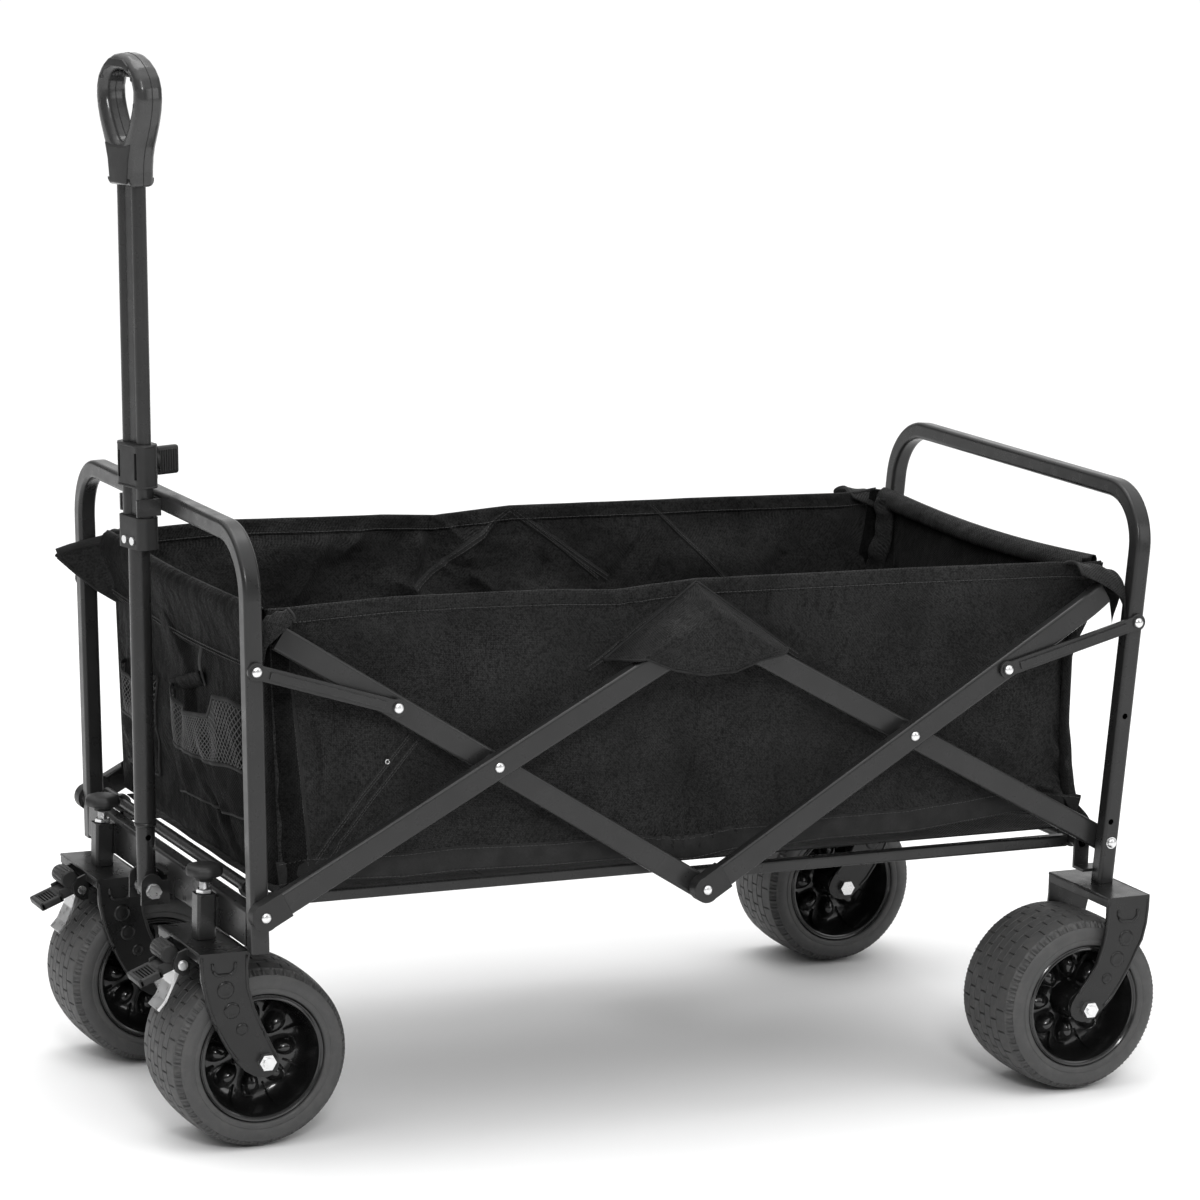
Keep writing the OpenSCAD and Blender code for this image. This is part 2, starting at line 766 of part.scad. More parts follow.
module handle_clamp() {
  color(plastic) upper_at() difference() {
    union() {
      translate([0, 0, 398]) linear_extrude(42) rrect(23, 48, 9);
      translate([-17, -9, 404]) cube([9, 18, 30]);
    }
    translate([0, 0, 390]) linear_extrude(60) union() {
      for (s = [-1, 1]) translate([0, s * lobe_gap / 2]) circle(r = lobe_r + 1.2);
      square([(lobe_r + 1.2) * 1.1, lobe_gap], center = true);
    }
    for (y = [-17, 13]) translate([8, y, 406]) cube([6, 4, 26]);
    translate([-18, 0, 420]) rotate([0, 90, 0]) cylinder(r = 3 + run, h = 12);
  }
}

module handle_fasteners() {
  color(zinc) {
    upper_at() for (y = [-7, 7]) {
      translate([-12, y, 346]) rotate([0, 90, 0]) cylinder(r = 2.2, h = 24.5);
      translate([11.5, y, 346]) rotate([0, 90, 0]) cylinder(r = 4, h = 1.4);
      translate([-12.9, y, 346]) rotate([0, 90, 0]) cylinder(r = 4, h = 1.4);
    }
    handle_at() ycyl(0, 0, 4.14, -21, 25);
    handle_at() ycyl(0, 0, 7.5, 19.1, 21);
    handle_at() hexnut(0, 0, 21, 26, 7.2);
    handle_at() hexnut(0, 0, -24, -19.2, 7.2);
  }
}

module clamp_knob() {
  color(plastic) upper_at() {
    translate([-24, 0, 420]) rotate([0, 90, 0]) cylinder(r = 3, h = 16);
    translate([-22, 0, 420]) rotate([0, 90, 0]) cylinder(r = 8, h = 4.6);
    translate([-45, -3.5, 406]) cube([25, 7, 28]);
    for (k = [0:3]) translate([-43 + 5 * k, -4.4, 408]) cube([2.4, 8.8, 24]);
  }
}

module handle_slide_tube() {
  color(black) upper_at() difference() {
    lobes(lobe_r, 396, 700);
    for (s = [-1, 1]) translate([0, s * lobe_gap / 2, 391]) cylinder(r = lobe_r - 1.3, h = 311);
  }
}

// Teardrop loop with a neck, in Y and Z
module grip_shape() {
  difference() {
    union() {
      translate([0, 686 + grip_h - grip_w / 2]) circle(r = grip_w / 2, $fn = 64);
      polygon([[-38, 752], [-23.5, 712], [-22, 686], [22, 686], [23.5, 712], [38, 752]]);
    }
    union() {
      translate([0, 771]) circle(r = 23, $fn = 48);
      polygon([[-21.5, 763], [-9, 735], [9, 735], [21.5, 763]]);
      translate([0, 737]) circle(r = 9.2);
    }
  }
}

module grip_half(x0, x1) {
  translate([x0, 0, 0]) rotate([90, 0, 90]) linear_extrude(x1 - x0) grip_shape();
}

module grip_socket() {
  translate([0, 0, 680]) linear_extrude(20.1) union() {
    for (s = [-1, 1]) translate([0, s * lobe_gap / 2]) circle(r = lobe_r);
    square([lobe_r * 1.1, lobe_gap], center = true);
  }
}

module grip_front_shell() {
  color(plastic) upper_at() difference() {
    grip_half(0, 14);
    grip_socket();
  }
}

module grip_rear_shell() {
  color(plastic) upper_at() difference() {
    grip_half(-14, 0);
    grip_socket();
  }
}

front_hoop();
front_base_bar();
front_floor_tube();
caster_stems();
handle_bracket();
handle_clip();
basket_front();
basket_side_left();
basket_side_right();
basket_floor();
rear_hoop();
rear_floor_tube();
rear_fork_left();
rear_fork_right();
rear_fasteners();
basket_rear();
tyre_front_left();
hub_front_left();
tyre_front_right();
hub_front_right();
tyre_rear_left();
hub_rear_left();
tyre_rear_right();
hub_rear_right();
caster_fork_left();
caster_fork_right();
caster_fasteners_left();
caster_fasteners_right();
brake_pedal_left();
brake_pedal_right();
brake_shoe_left();
brake_shoe_right();
caster_knob_left();
caster_knob_right();
front_outer_arm_left();
front_outer_arm_right();
front_inner_arm_left();
front_inner_arm_right();
rear_outer_arm_left();
rear_outer_arm_right();
rear_inner_arm_left();
rear_inner_arm_right();
front_arm_caps();
rear_arm_caps();
front_arm_rivets();
rear_arm_rivets();
front_links();
rear_links();
front_rails();
rear_rails();
handle_lower_tube();
handle_sleeve();
handle_collar();
handle_clamp();
handle_fasteners();
clamp_knob();
handle_slide_tube();
grip_front_shell();
grip_rear_shell();
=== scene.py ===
"""Looks of the folding wagon with a pull handle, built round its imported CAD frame.

The hard parts keep their CAD nodes and get painted, moulded and plated finishes. Wheels, grip, knobs
and pedals are rebuilt with tread, ribs and rounded edges, and the basket is sewn from curved sheets.
Shapes are written in millimetres, with x = 0 at the middle of the side linkage, and go into the row
frame through world(). Outward means away from the middle plane, which is +Y on the left side.
"""

import json
import math

import bmesh
import bpy
import numpy as np
from mathutils import Matrix, Vector

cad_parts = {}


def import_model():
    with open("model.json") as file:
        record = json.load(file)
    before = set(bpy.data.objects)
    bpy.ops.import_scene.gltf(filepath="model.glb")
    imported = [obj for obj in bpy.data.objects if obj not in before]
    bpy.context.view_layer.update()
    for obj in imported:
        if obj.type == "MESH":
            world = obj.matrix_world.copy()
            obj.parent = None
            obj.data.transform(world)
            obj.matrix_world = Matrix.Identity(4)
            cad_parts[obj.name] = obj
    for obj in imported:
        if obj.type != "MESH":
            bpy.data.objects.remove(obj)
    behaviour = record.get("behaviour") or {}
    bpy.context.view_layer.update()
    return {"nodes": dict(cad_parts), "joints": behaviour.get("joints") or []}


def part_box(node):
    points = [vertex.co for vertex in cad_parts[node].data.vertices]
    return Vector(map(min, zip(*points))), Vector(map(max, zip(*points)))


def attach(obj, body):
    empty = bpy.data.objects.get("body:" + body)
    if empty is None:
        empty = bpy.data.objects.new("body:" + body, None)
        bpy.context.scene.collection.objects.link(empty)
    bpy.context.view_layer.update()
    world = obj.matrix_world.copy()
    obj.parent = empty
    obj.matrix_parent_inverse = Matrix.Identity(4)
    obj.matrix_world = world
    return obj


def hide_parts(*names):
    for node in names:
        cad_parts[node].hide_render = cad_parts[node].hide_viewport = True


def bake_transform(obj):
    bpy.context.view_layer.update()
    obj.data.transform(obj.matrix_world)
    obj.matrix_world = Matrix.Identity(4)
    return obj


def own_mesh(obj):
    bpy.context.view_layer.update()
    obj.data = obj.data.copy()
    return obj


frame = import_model()

NODES = frame["nodes"]
JOINTS = {j["name"]: j for j in frame["joints"]}
MM = 0.001
MID_X = JOINTS["top_joint"]["pos_m"][0] / MM
SIDES = (("left", 1.0), ("right", -1.0))
STEM_X = 482.5
CASTER_SHIFT = JOINTS["caster_swivel_left"]["pos_m"][0] / MM - MID_X - STEM_X


def world(points):
    """Millimetres from the middle of the linkage to metres in the row frame."""
    return (np.asarray(points, float) + (MID_X, 0, 0)) * MM


def local(point):
    """Metres in the row frame to millimetres from the middle of the linkage."""
    return np.asarray(point, float) / MM - (MID_X, 0, 0)


def smooth(t):
    t = np.clip(t, 0, 1)
    return t * t * (3 - 2 * t)


def table(x, pairs):
    """Straight lines between (x, value) pairs given in rising x."""
    xs, values = zip(*pairs)
    return np.interp(x, xs, values)


def link_object(obj):
    bpy.context.scene.collection.objects.link(obj)
    return obj


# ---------------------------------------------------------------------------------------------
# Camera, floor and light


def make_camera():
    place = (1.8233, 3.8905, 1.2826)
    azimuth, elevation, roll = (math.radians(a) for a in (154.523, 11.064, 1.684))
    level = math.cos(elevation)
    back = Vector((math.sin(azimuth) * level, -math.cos(azimuth) * level, math.sin(elevation)))
    right = Vector((0, 0, 1)).cross(back).normalized()
    up = back.cross(right)
    turned_right = right * math.cos(roll) + up * math.sin(roll)
    turned_up = up * math.cos(roll) - right * math.sin(roll)
    camera = link_object(bpy.data.objects.new("camera", bpy.data.cameras.new("camera")))
    turn = Matrix((turned_right, turned_up, back)).transposed().to_4x4()
    camera.matrix_world = Matrix.Translation(place) @ turn
    camera.data.lens, camera.data.sensor_width = 129.7, 36.0
    camera.data.shift_y = 0.0269
    camera.data.clip_start, camera.data.clip_end = 0.1, 60
    bpy.context.scene.camera = camera


def area_light(name, place, size, power):
    """A rectangle of light that looks at the middle of the wagon."""
    middle = Vector((0, 0, 0.4))
    light = link_object(bpy.data.objects.new(name, bpy.data.lights.new(name, "AREA")))
    light.data.shape = "RECTANGLE"
    light.data.size, light.data.size_y = size
    light.data.energy = power
    light.location = place
    light.rotation_mode = "QUATERNION"
    light.rotation_quaternion = (middle - Vector(place)).to_track_quat("-Z", "Y")


def make_ground():
    far, gap = 14.0, 0.0004
    corners = [(-far, -far, 0), (far, -far, 0), (far, far, 0), (-far, far, 0)]
    mesh = bpy.data.meshes.new("floor")
    mesh.from_pydata(corners, [], [(0, 1, 2, 3)])
    floor = link_object(bpy.data.objects.new("floor", mesh))
    floor.location.z = -gap
    pale = bpy.data.materials.new("pale_floor")
    pale.use_nodes = True
    shader = pale.node_tree.nodes["Principled BSDF"]
    shader.inputs["Base Color"].default_value = (0.93, 0.93, 0.93, 1)
    shader.inputs["Roughness"].default_value = 0.9
    shader.inputs["Specular IOR Level"].default_value = 0.1
    mesh.materials.append(pale)


def make_sky():
    """A bright wall behind the wagon, a brighter ceiling and a dim room on the near side."""
    sky = bpy.data.worlds.new("studio")
    sky.use_nodes = True
    background = sky.node_tree.nodes["Background"]
    background.inputs["Color"].default_value = (1, 1, 1, 1)
    bpy.context.scene.world = sky
    link = sky.node_tree.links.new

    def node(kind, **values):
        made = sky.node_tree.nodes.new(kind)
        for name, value in values.items():
            setattr(made, name, value)
        return made

    def ramp(value, *spans):
        made = node("ShaderNodeMapRange", interpolation_type="SMOOTHSTEP")
        link(value, made.inputs["Value"])
        for name, number in zip(("From Min", "From Max", "To Min", "To Max"), spans):
            made.inputs[name].default_value = number
        return made.outputs["Result"]

    heading = node("ShaderNodeTexCoord").outputs["Generated"]
    facing = node("ShaderNodeVectorMath", operation="DOT_PRODUCT")
    link(heading, facing.inputs[0])
    facing.inputs[1].default_value = (-0.42, -0.90, 0.0)
    split = node("ShaderNodeSeparateXYZ")
    link(heading, split.inputs[0])
    blend = node("ShaderNodeMix")
    link(ramp(facing.outputs["Value"], 0.78, 0.95, 0.2, 1.03), blend.inputs[2])
    link(ramp(split.outputs["Z"], 0.25, 0.8, 0.0, 1.0), blend.inputs[0])
    blend.inputs[3].default_value = 1.5
    link(blend.outputs[0], background.inputs["Strength"])


def make_studio():
    make_ground()
    make_sky()
    area_light("key", (1.4, 4.2, 2.9), (0.9, 0.7), 66)
    area_light("fill", (-3.0, 3.2, 1.8), (2.0, 1.6), 24)
    area_light("top", (0.3, -0.3, 3.4), (2.4, 1.6), 36)
    bpy.context.scene.view_settings.view_transform = "Standard"


# ---------------------------------------------------------------------------------------------
# Materials


class Graph:
    """A material's nodes, with short calls for the few kinds that the finishes use."""

    def __init__(self, name):
        self.material = bpy.data.materials.new(name)
        self.material.use_nodes = True
        self.nodes = self.material.node_tree.nodes
        self.links = self.material.node_tree.links
        self.shader = self.nodes["Principled BSDF"]

    def fill(self, socket, value):
        if isinstance(value, bpy.types.NodeSocket):
            self.links.new(value, socket)
        elif value is not None:
            socket.default_value = value

    def math(self, operation, a, b=None):
        node = self.nodes.new("ShaderNodeMath")
        node.operation = operation
        for socket, value in zip(node.inputs, (a, b)):
            self.fill(socket, value)
        return node.outputs[0]

    def coordinates(self, kind="Object"):
        return self.nodes.new("ShaderNodeTexCoord").outputs[kind]

    def noise(self, vector, scale, detail=2.0, roughness=0.5):
        node = self.nodes.new("ShaderNodeTexNoise")
        self.fill(node.inputs["Vector"], vector)
        node.inputs["Scale"].default_value = scale
        node.inputs["Detail"].default_value = detail
        node.inputs["Roughness"].default_value = roughness
        return node.outputs["Fac"]

    def span(self, value, *spans):
        """A value carried from (low, high) to (new low, new high)."""
        node = self.nodes.new("ShaderNodeMapRange")
        self.fill(node.inputs["Value"], value)
        for name, number in zip(("From Min", "From Max", "To Min", "To Max"), spans):
            node.inputs[name].default_value = number
        return node.outputs["Result"]

    def mix(self, factor, a, b):
        node = self.nodes.new("ShaderNodeMix")
        node.data_type = "RGBA"
        self.fill(node.inputs[0], factor)
        self.fill(node.inputs[6], (*a, 1) if isinstance(a, tuple) else a)
        self.fill(node.inputs[7], (*b, 1) if isinstance(b, tuple) else b)
        return node.outputs[2]

    def bump(self, height, strength, distance, normal=None):
        node = self.nodes.new("ShaderNodeBump")
        node.inputs["Strength"].default_value = strength
        node.inputs["Distance"].default_value = distance
        self.fill(node.inputs["Height"], height)
        self.fill(node.inputs["Normal"], normal)
        return node.outputs["Normal"]

    def soft_edges(self, radius):
        node = self.nodes.new("ShaderNodeBevel")
        node.samples = 4
        node.inputs["Radius"].default_value = radius
        return node.outputs["Normal"]

    def edge_highlight_mask(self, radius):
        """0 on flat faces and towards 1 on an edge, where the finishes paint a highlight."""
        geometry = self.nodes.new("ShaderNodeNewGeometry")
        dot = self.nodes.new("ShaderNodeVectorMath")
        dot.operation = "DOT_PRODUCT"
        self.links.new(self.soft_edges(radius), dot.inputs[0])
        self.links.new(geometry.outputs["Normal"], dot.inputs[1])
        return self.span(dot.outputs["Value"], 0.995, 0.86, 0.0, 1.0)

    def set(self, **sockets):
        for name, value in sockets.items():
            self.fill(self.shader.inputs[name.replace("_", " ")], value)
        return self.material


def grey(value, warm=0.0):
    return (value * (1 + warm), value, value * (1 - warm))


def make_paint(name, dark, light):
    """Satin black powder coat: orange peel, faint cloudiness, and a painted highlight that brightens the
    edges in patches.
    """
    g = Graph(name)
    place = g.coordinates()
    highlight_patches = g.span(g.noise(place, 160, 3), 0.45, 0.75, 0.0, 0.55)
    base = g.mix(g.noise(place, 18, 4), grey(dark), grey(light))
    return g.set(
        # edges painted a lighter grey in noisy patches: a painted highlight
        Base_Color=g.mix(g.math("MULTIPLY", g.edge_highlight_mask(0.0012), highlight_patches), base, grey(0.11)),
        Roughness=g.span(g.noise(place, 60, 3), 0.3, 0.7, 0.24, 0.36),
        Normal=g.bump(g.noise(place, 900, 2), 0.12, 0.0004, g.soft_edges(0.0007)),
        Specular_IOR_Level=0.36,
    )


def make_zinc():
    g = Graph("zinc_plate")
    place = g.coordinates()
    return g.set(
        Base_Color=g.mix(g.noise(place, 120, 4), grey(0.62, 0.01), grey(0.86, -0.01)),
        Metallic=1.0,
        Roughness=g.span(g.noise(place, 120, 3), 0.3, 0.7, 0.24, 0.4),
        Normal=g.bump(g.noise(place, 500, 2), 0.06, 0.0002, g.soft_edges(0.0005)),
    )


def make_plastic(name, dark, light, rough, grain, coat=0.0):
    """Moulded plastic: fine leather-like grain, or nearly none on a polished moulding, with a painted
    highlight on the edges.
    """
    g = Graph(name)
    place = g.coordinates()
    highlight_patches = g.span(g.noise(place, 200, 3), 0.4, 0.8, 0.0, 0.5)
    base = g.mix(g.noise(place, 40, 4), grey(dark), grey(light))
    return g.set(
        # edges painted three times lighter in noisy patches: a painted highlight
        Base_Color=g.mix(g.math("MULTIPLY", g.edge_highlight_mask(0.0011), highlight_patches), base, grey(light * 3)),
        Roughness=g.span(g.noise(place, 90, 3), 0.3, 0.7, rough - 0.05, rough + 0.07),
        Normal=g.bump(g.noise(place, 1700, 2), grain, 0.0003, g.soft_edges(0.0008)),
        Specular_IOR_Level=0.34,
        Coat_Weight=coat,
        Coat_Roughness=0.1,
    )


def make_rubber():
    g = Graph("tyre_rubber")
    place = g.coordinates()
    dust = g.span(g.noise(place, 70, 5, 0.65), 0.45, 0.75, 0.0, 0.6)
    return g.set(
        Base_Color=g.mix(dust, grey(0.044), grey(0.074, 0.03)),
        Roughness=g.span(g.noise(place, 120, 3), 0.3, 0.7, 0.5, 0.66),
        Normal=g.bump(g.noise(place, 1300, 3), 0.2, 0.0004),
        Specular_IOR_Level=0.5,
    )


def weave(g, pitch):
    """Height of a plain weave with paired threads, from a UV map in metres."""
    split = g.nodes.new("ShaderNodeSeparateXYZ")
    g.links.new(g.coordinates("UV"), split.inputs[0])
    waves = [g.math("SINE", g.math("MULTIPLY", split.outputs[k], math.pi / pitch)) for k in (0, 1)]
    across, along = (g.math("ABSOLUTE", wave) for wave in waves)
    over = g.math("GREATER_THAN", g.math("MULTIPLY", *waves), 0.0)
    warp = g.math("MULTIPLY", along, over)
    weft = g.math("MULTIPLY", across, g.math("SUBTRACT", 1.0, over))
    return g.math("POWER", g.math("ADD", warp, weft), 0.7)


def make_oxford(name, dark, light, pitch=0.0017, gloss=0.07):
    """Coated oxford cloth: paired threads, soft cloudy wear on the folds and a faint sheen."""
    g = Graph(name)
    place = g.coordinates()
    threads = weave(g, pitch)
    cloud = g.span(g.noise(place, 14, 5, 0.6), 0.3, 0.7, 0.0, 1.0)
    slub = g.span(g.noise(place, 420, 3, 0.65), 0.4, 0.6, 0.0, 1.0)
    shown = g.math("MULTIPLY", threads, g.span(slub, 0, 1, 0.35, 1.35))
    rumple = g.bump(g.noise(place, 16, 3, 0.5), 1.0, 0.022)
    crinkle = g.bump(g.noise(place, 60, 4, 0.6), 0.6, 0.005, rumple)
    return g.set(
        # where the threads dip the colour falls to a tenth of the dark tone: the weave's pattern, with
        # painted shade in its hollows
        Base_Color=g.mix(shown, grey(dark * 0.1), g.mix(cloud, grey(dark), grey(light))),
        Roughness=g.span(slub, 0.0, 1.0, 0.38, 0.6),
        Normal=g.bump(threads, 1.0, 0.0006, crinkle),
        Specular_IOR_Level=gloss,
        Sheen_Weight=0.03,
        Sheen_Roughness=0.45,
    )


def make_tape():
    """Ribbed binding tape; its strips and cords carry no UV map, so it is drawn in object space."""
    g = Graph("binding_tape")
    place = g.coordinates()
    rib = g.noise(place, 900, 2)
    worn = g.span(g.noise(place, 60, 4), 0.3, 0.7, 0.6, 1.4)
    return g.set(
        Base_Color=g.mix(g.math("MULTIPLY", rib, worn), grey(0.007), grey(0.026)),
        Roughness=g.span(rib, 0.3, 0.7, 0.5, 0.65),
        Normal=g.bump(rib, 0.6, 0.0006),
        Specular_IOR_Level=0.1,
        Sheen_Weight=0.03,
    )


def make_thread(name, value):
    g = Graph(name)
    place = g.coordinates()
    twist = g.noise(place, 2400, 2)
    return g.set(
        Base_Color=g.mix(twist, grey(value * 0.6), grey(value)),
        Roughness=g.span(g.noise(place, 300, 2), 0.3, 0.7, 0.55, 0.75),
        Normal=g.bump(twist, 0.4, 0.0003),
        Sheen_Weight=0.15,
    )


make_camera()
make_studio()
PAINT = make_paint("powder_coat", 0.013, 0.02)
# a darker copy of the powder coat for the forks and their pressings: painted shade for parts that stand under
# the basket
SHADED_FORK_PAINT = make_paint("fork_coat_painted_shade", 0.006, 0.011)
ZINC, RUBBER = make_zinc(), make_rubber()
PLASTIC = make_plastic("grained_plastic", 0.013, 0.021, 0.46, 0.35)
GLOSS = make_plastic("polished_plastic", 0.006, 0.009, 0.2, 0.05, 0.5)
GRIP = make_plastic("grip_plastic", 0.024, 0.036, 0.26, 0.12, 0.35)
CLOTH = make_oxford("oxford_cloth", 0.018, 0.037)
# a darker copy of the oxford cloth for the front and rear walls, the front band, the pocket cloth and the
# pocket flap: painted shade
SHADED = make_oxford("end_cloth_painted_shade", 0.006, 0.014, gloss=0.02)
LINING = make_oxford("oxford_lining", 0.014, 0.026, 0.0018)
BINDING = make_tape()
THREAD = make_thread("sewing_thread", 0.015)
NET = make_thread("net_cord", 0.05)


# ---------------------------------------------------------------------------------------------
# Mesh helpers. A part is (points in mm, faces), and join_meshes makes one mesh of many.


def add_object(name, mesh, material, body=None, shade=True):
    obj = link_object(bpy.data.objects.new(name, mesh))
    mesh.materials.append(material)
    if shade:
        mesh.polygons.foreach_set("use_smooth", [True] * len(mesh.polygons))
    if body:
        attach(obj, body)
    return obj


def grid_faces(rows, columns, wrap_rows=False, wrap_columns=False):
    r = np.arange(rows if wrap_rows else rows - 1)
    c = np.arange(columns if wrap_columns else columns - 1)
    r, c = (a.ravel() for a in np.meshgrid(r, c, indexing="ij"))
    r2, c2 = (r + 1) % rows, (c + 1) % columns
    return np.stack([r * columns + c, r * columns + c2, r2 * columns + c2, r2 * columns + c], 1)


def capped_faces(rows, sides):
    """Faces of a stack of rings that is closed by a flat end at both ends."""
    ends = [list(range(sides))[::-1], [(rows - 1) * sides + k for k in range(sides)]]
    return grid_faces(rows, sides, False, True).tolist() + ends


def unit_grid(rows, columns):
    """(v, u) that run from 0 to 1 down the rows and along the columns."""
    return np.meshgrid(np.linspace(0, 1, rows), np.linspace(0, 1, columns), indexing="ij")


def lengths(points, axis):
    """Distance along the surface from its first row or column, in the points' unit."""
    step = np.linalg.norm(np.diff(points, axis=axis), axis=2)
    pad = [(0, 0), (0, 0)]
    pad[axis] = (1, 0)
    return np.pad(np.cumsum(step, axis=axis), pad)


def grid_mesh(name, points):
    """A mesh from rows of points in mm, with a UV map in metres."""
    mesh = bpy.data.meshes.new(name)
    mesh.from_pydata(world(points).reshape(-1, 3).tolist(), [], grid_faces(*points.shape[:2]).tolist())
    across = lengths(points, 1)
    across = across - across.mean(axis=1, keepdims=True)
    uv = np.stack([across, lengths(points, 0)], 2).reshape(-1, 2) * MM
    layer = mesh.uv_layers.new(name="metres")
    loops = np.empty(len(mesh.loops), int)
    mesh.loops.foreach_get("vertex_index", loops)
    layer.data.foreach_set("uv", uv[loops].ravel())
    mesh.update()
    return mesh


def cloth_piece(name, points, material, thickness, body="front_frame"):
    """A curved sheet from rows of points, with its cloth's thickness in mm."""
    obj = add_object(name, grid_mesh(name, points), material, body)
    solid = obj.modifiers.new("thickness", "SOLIDIFY")
    solid.thickness = thickness * MM
    solid.offset = 0.0
    solid.use_even_offset = False
    return obj


def join_meshes(name, parts):
    verts, faces, start = [], [], 0
    for points, quads in parts:
        points = np.asarray(points, float).reshape(-1, 3)
        verts.append(points)
        faces += [tuple(int(i) + start for i in f) for f in quads]
        start += len(points)
    mesh = bpy.data.meshes.new(name)
    mesh.from_pydata(world(np.concatenate(verts)).tolist(), [], faces)
    bm = bmesh.new()
    bm.from_mesh(mesh)
    bmesh.ops.recalc_face_normals(bm, faces=bm.faces)
    bm.to_mesh(mesh)
    bm.free()
    return mesh


def joined(name, parts, material, body="front_frame", shade=True):
    return add_object(name, join_meshes(name, parts), material, body, shade)


def shade_sharp(mesh, degrees):
    """Smooth shading that stays crisp where faces meet at more than an angle."""
    mesh.polygons.foreach_set("use_smooth", [True] * len(mesh.polygons))
    mesh.set_sharp_from_angle(angle=math.radians(degrees))


def turn_y(degrees):
    return Matrix.Rotation(math.radians(degrees), 4, "Y")


def turn_x(degrees):
    return Matrix.Rotation(math.radians(degrees), 4, "X")


def turned(points, turn):
    return np.asarray(points, float).reshape(-1, 3) @ np.array(turn.to_3x3()).T


def moved(parts, change):
    """Parts with their points changed by a function."""
    return [(change(np.asarray(p, float).reshape(-1, 3)), f) for p, f in parts]


def mirrored(parts, side):
    return moved(parts, lambda p: p * (1, side, 1))


def tube(path, radius, sides=8, flat=1.0, closed=False):
    """Part: a round cord along a path; flat squeezes it along its second side."""
    path = np.asarray(path, float)
    if closed:
        ahead = np.roll(path, -1, 0) - np.roll(path, 1, 0)
    else:
        ahead = np.gradient(path, axis=0)
    ahead /= np.linalg.norm(ahead, axis=1, keepdims=True)
    up = np.where(np.abs(ahead[:, 2:3]) > 0.9, (1.0, 0.0, 0.0), (0.0, 0.0, 1.0))
    side = np.cross(ahead, up)
    side /= np.linalg.norm(side, axis=1, keepdims=True)
    up = np.cross(side, ahead)
    a = np.arange(sides) * 2 * math.pi / sides
    ring = side[:, None] * np.cos(a)[None, :, None] * flat + up[:, None] * np.sin(a)[None, :, None]
    faces = grid_faces(len(path), sides, True, True) if closed else capped_faces(len(path), sides)
    return path[:, None] + ring * radius, faces


def resample(points, step):
    """Points every step mm along a line of points."""
    points = np.asarray(points, float)
    along = np.concatenate([[0], np.cumsum(np.linalg.norm(np.diff(points, axis=0), axis=1))])
    count = max(2, int(round(along[-1] / step)) + 1)
    places = np.linspace(0, along[-1], count)
    return np.stack([np.interp(places, along, points[:, k]) for k in range(points.shape[1])], 1)


def box_part(size, place, turn=None, bevel=1.0, segments=2):
    """Part: a box with rounded edges."""
    bm = bmesh.new()
    bmesh.ops.create_cube(bm, size=1.0)
    bmesh.ops.scale(bm, vec=size, verts=bm.verts)
    bmesh.ops.bevel(bm, geom=bm.edges[:], offset=bevel, segments=segments, profile=0.5, affect="EDGES")
    bm.verts.index_update()
    points = np.array([v.co for v in bm.verts], float)
    faces = [[v.index for v in f.verts] for f in bm.faces]
    bm.free()
    if turn is not None:
        points = turned(points, turn)
    return points + np.asarray(place, float), faces


def round_part(profile, sides, turn=None, place=(0, 0, 0), lobes=0, depth=0.0):
    """Part: (radius, height) pairs turned about Z, closed at both ends and waved into lobes."""
    a = np.arange(sides) * 2 * math.pi / sides
    wave = 1 + depth * np.cos(lobes * a)
    rows = [np.stack([r * wave * np.cos(a), r * wave * np.sin(a), np.full(sides, h)], 1) for r, h in profile]
    points = np.concatenate(rows)
    if turn is not None:
        points = turned(points, turn)
    return points + np.asarray(place, float), capped_faces(len(rows), sides)


def box_mm(node):
    """(lowest, highest) corner of a CAD node in local mm."""
    low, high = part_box(node)
    return local(low), local(high)


# ---------------------------------------------------------------------------------------------
# CAD nodes that stay: a finish for each


def finish_of(node):
    if any(word in node for word in ("fasteners", "rivets", "brake_shoe")):
        return ZINC
    if any(word in node for word in ("caps", "collar", "clamp", "pedal", "knob")):
        return PLASTIC
    return SHADED_FORK_PAINT if "fork" in node else PAINT


def dress_cad():
    for name, obj in NODES.items():
        if not obj.data.materials:
            obj.data.materials.append(None)
        for entry in obj.material_slots:
            entry.link = "OBJECT"
            entry.material = finish_of(name)


# ---------------------------------------------------------------------------------------------
# Wheels


def tyre_profile():
    """(height across, radius, brick row or -1, toothed or not) from one bead to the other."""
    row_half, rows = 37.0, 7
    side = [
        (48.5, 63.4), (49.4, 64.2), (50.0, 66.4), (50.0, 68.6), (49.5, 69.2), (49.5, 70.2),
        (50.0, 70.9), (50.0, 74.5), (49.6, 77.6), (48.6, 80.2), (47.6, 81.8),
    ]
    teeth = [(47.2, 82.6), (44.6, 85.4), (41.8, 86.8)]
    shoulder = [(40.9, 87.0), (38.9, 87.6)]
    half = [(y, r, -1, False) for y, r in side] + [(y, r, -1, True) for y, r in teeth]
    half += [(y, r, -1, False) for y, r in shoulder]
    edges = np.linspace(row_half, -row_half, rows + 1)
    crown = lambda y: 90.0 - 2.35 * (abs(y) / row_half) ** 2.6
    tread = []
    for k, (top, low) in enumerate(zip(edges[:-1], edges[1:])):
        for y in (top - 0.7, top - 1.3, (top + low) / 2, low + 1.3, low + 0.7):
            tread.append((y, crown(y), k, False))
        if k < rows - 1:
            tread.append((low, crown(low) - 1.5, -1, False))
    return half + tread + [(-y, r, row, tooth) for y, r, row, tooth in half[::-1]]


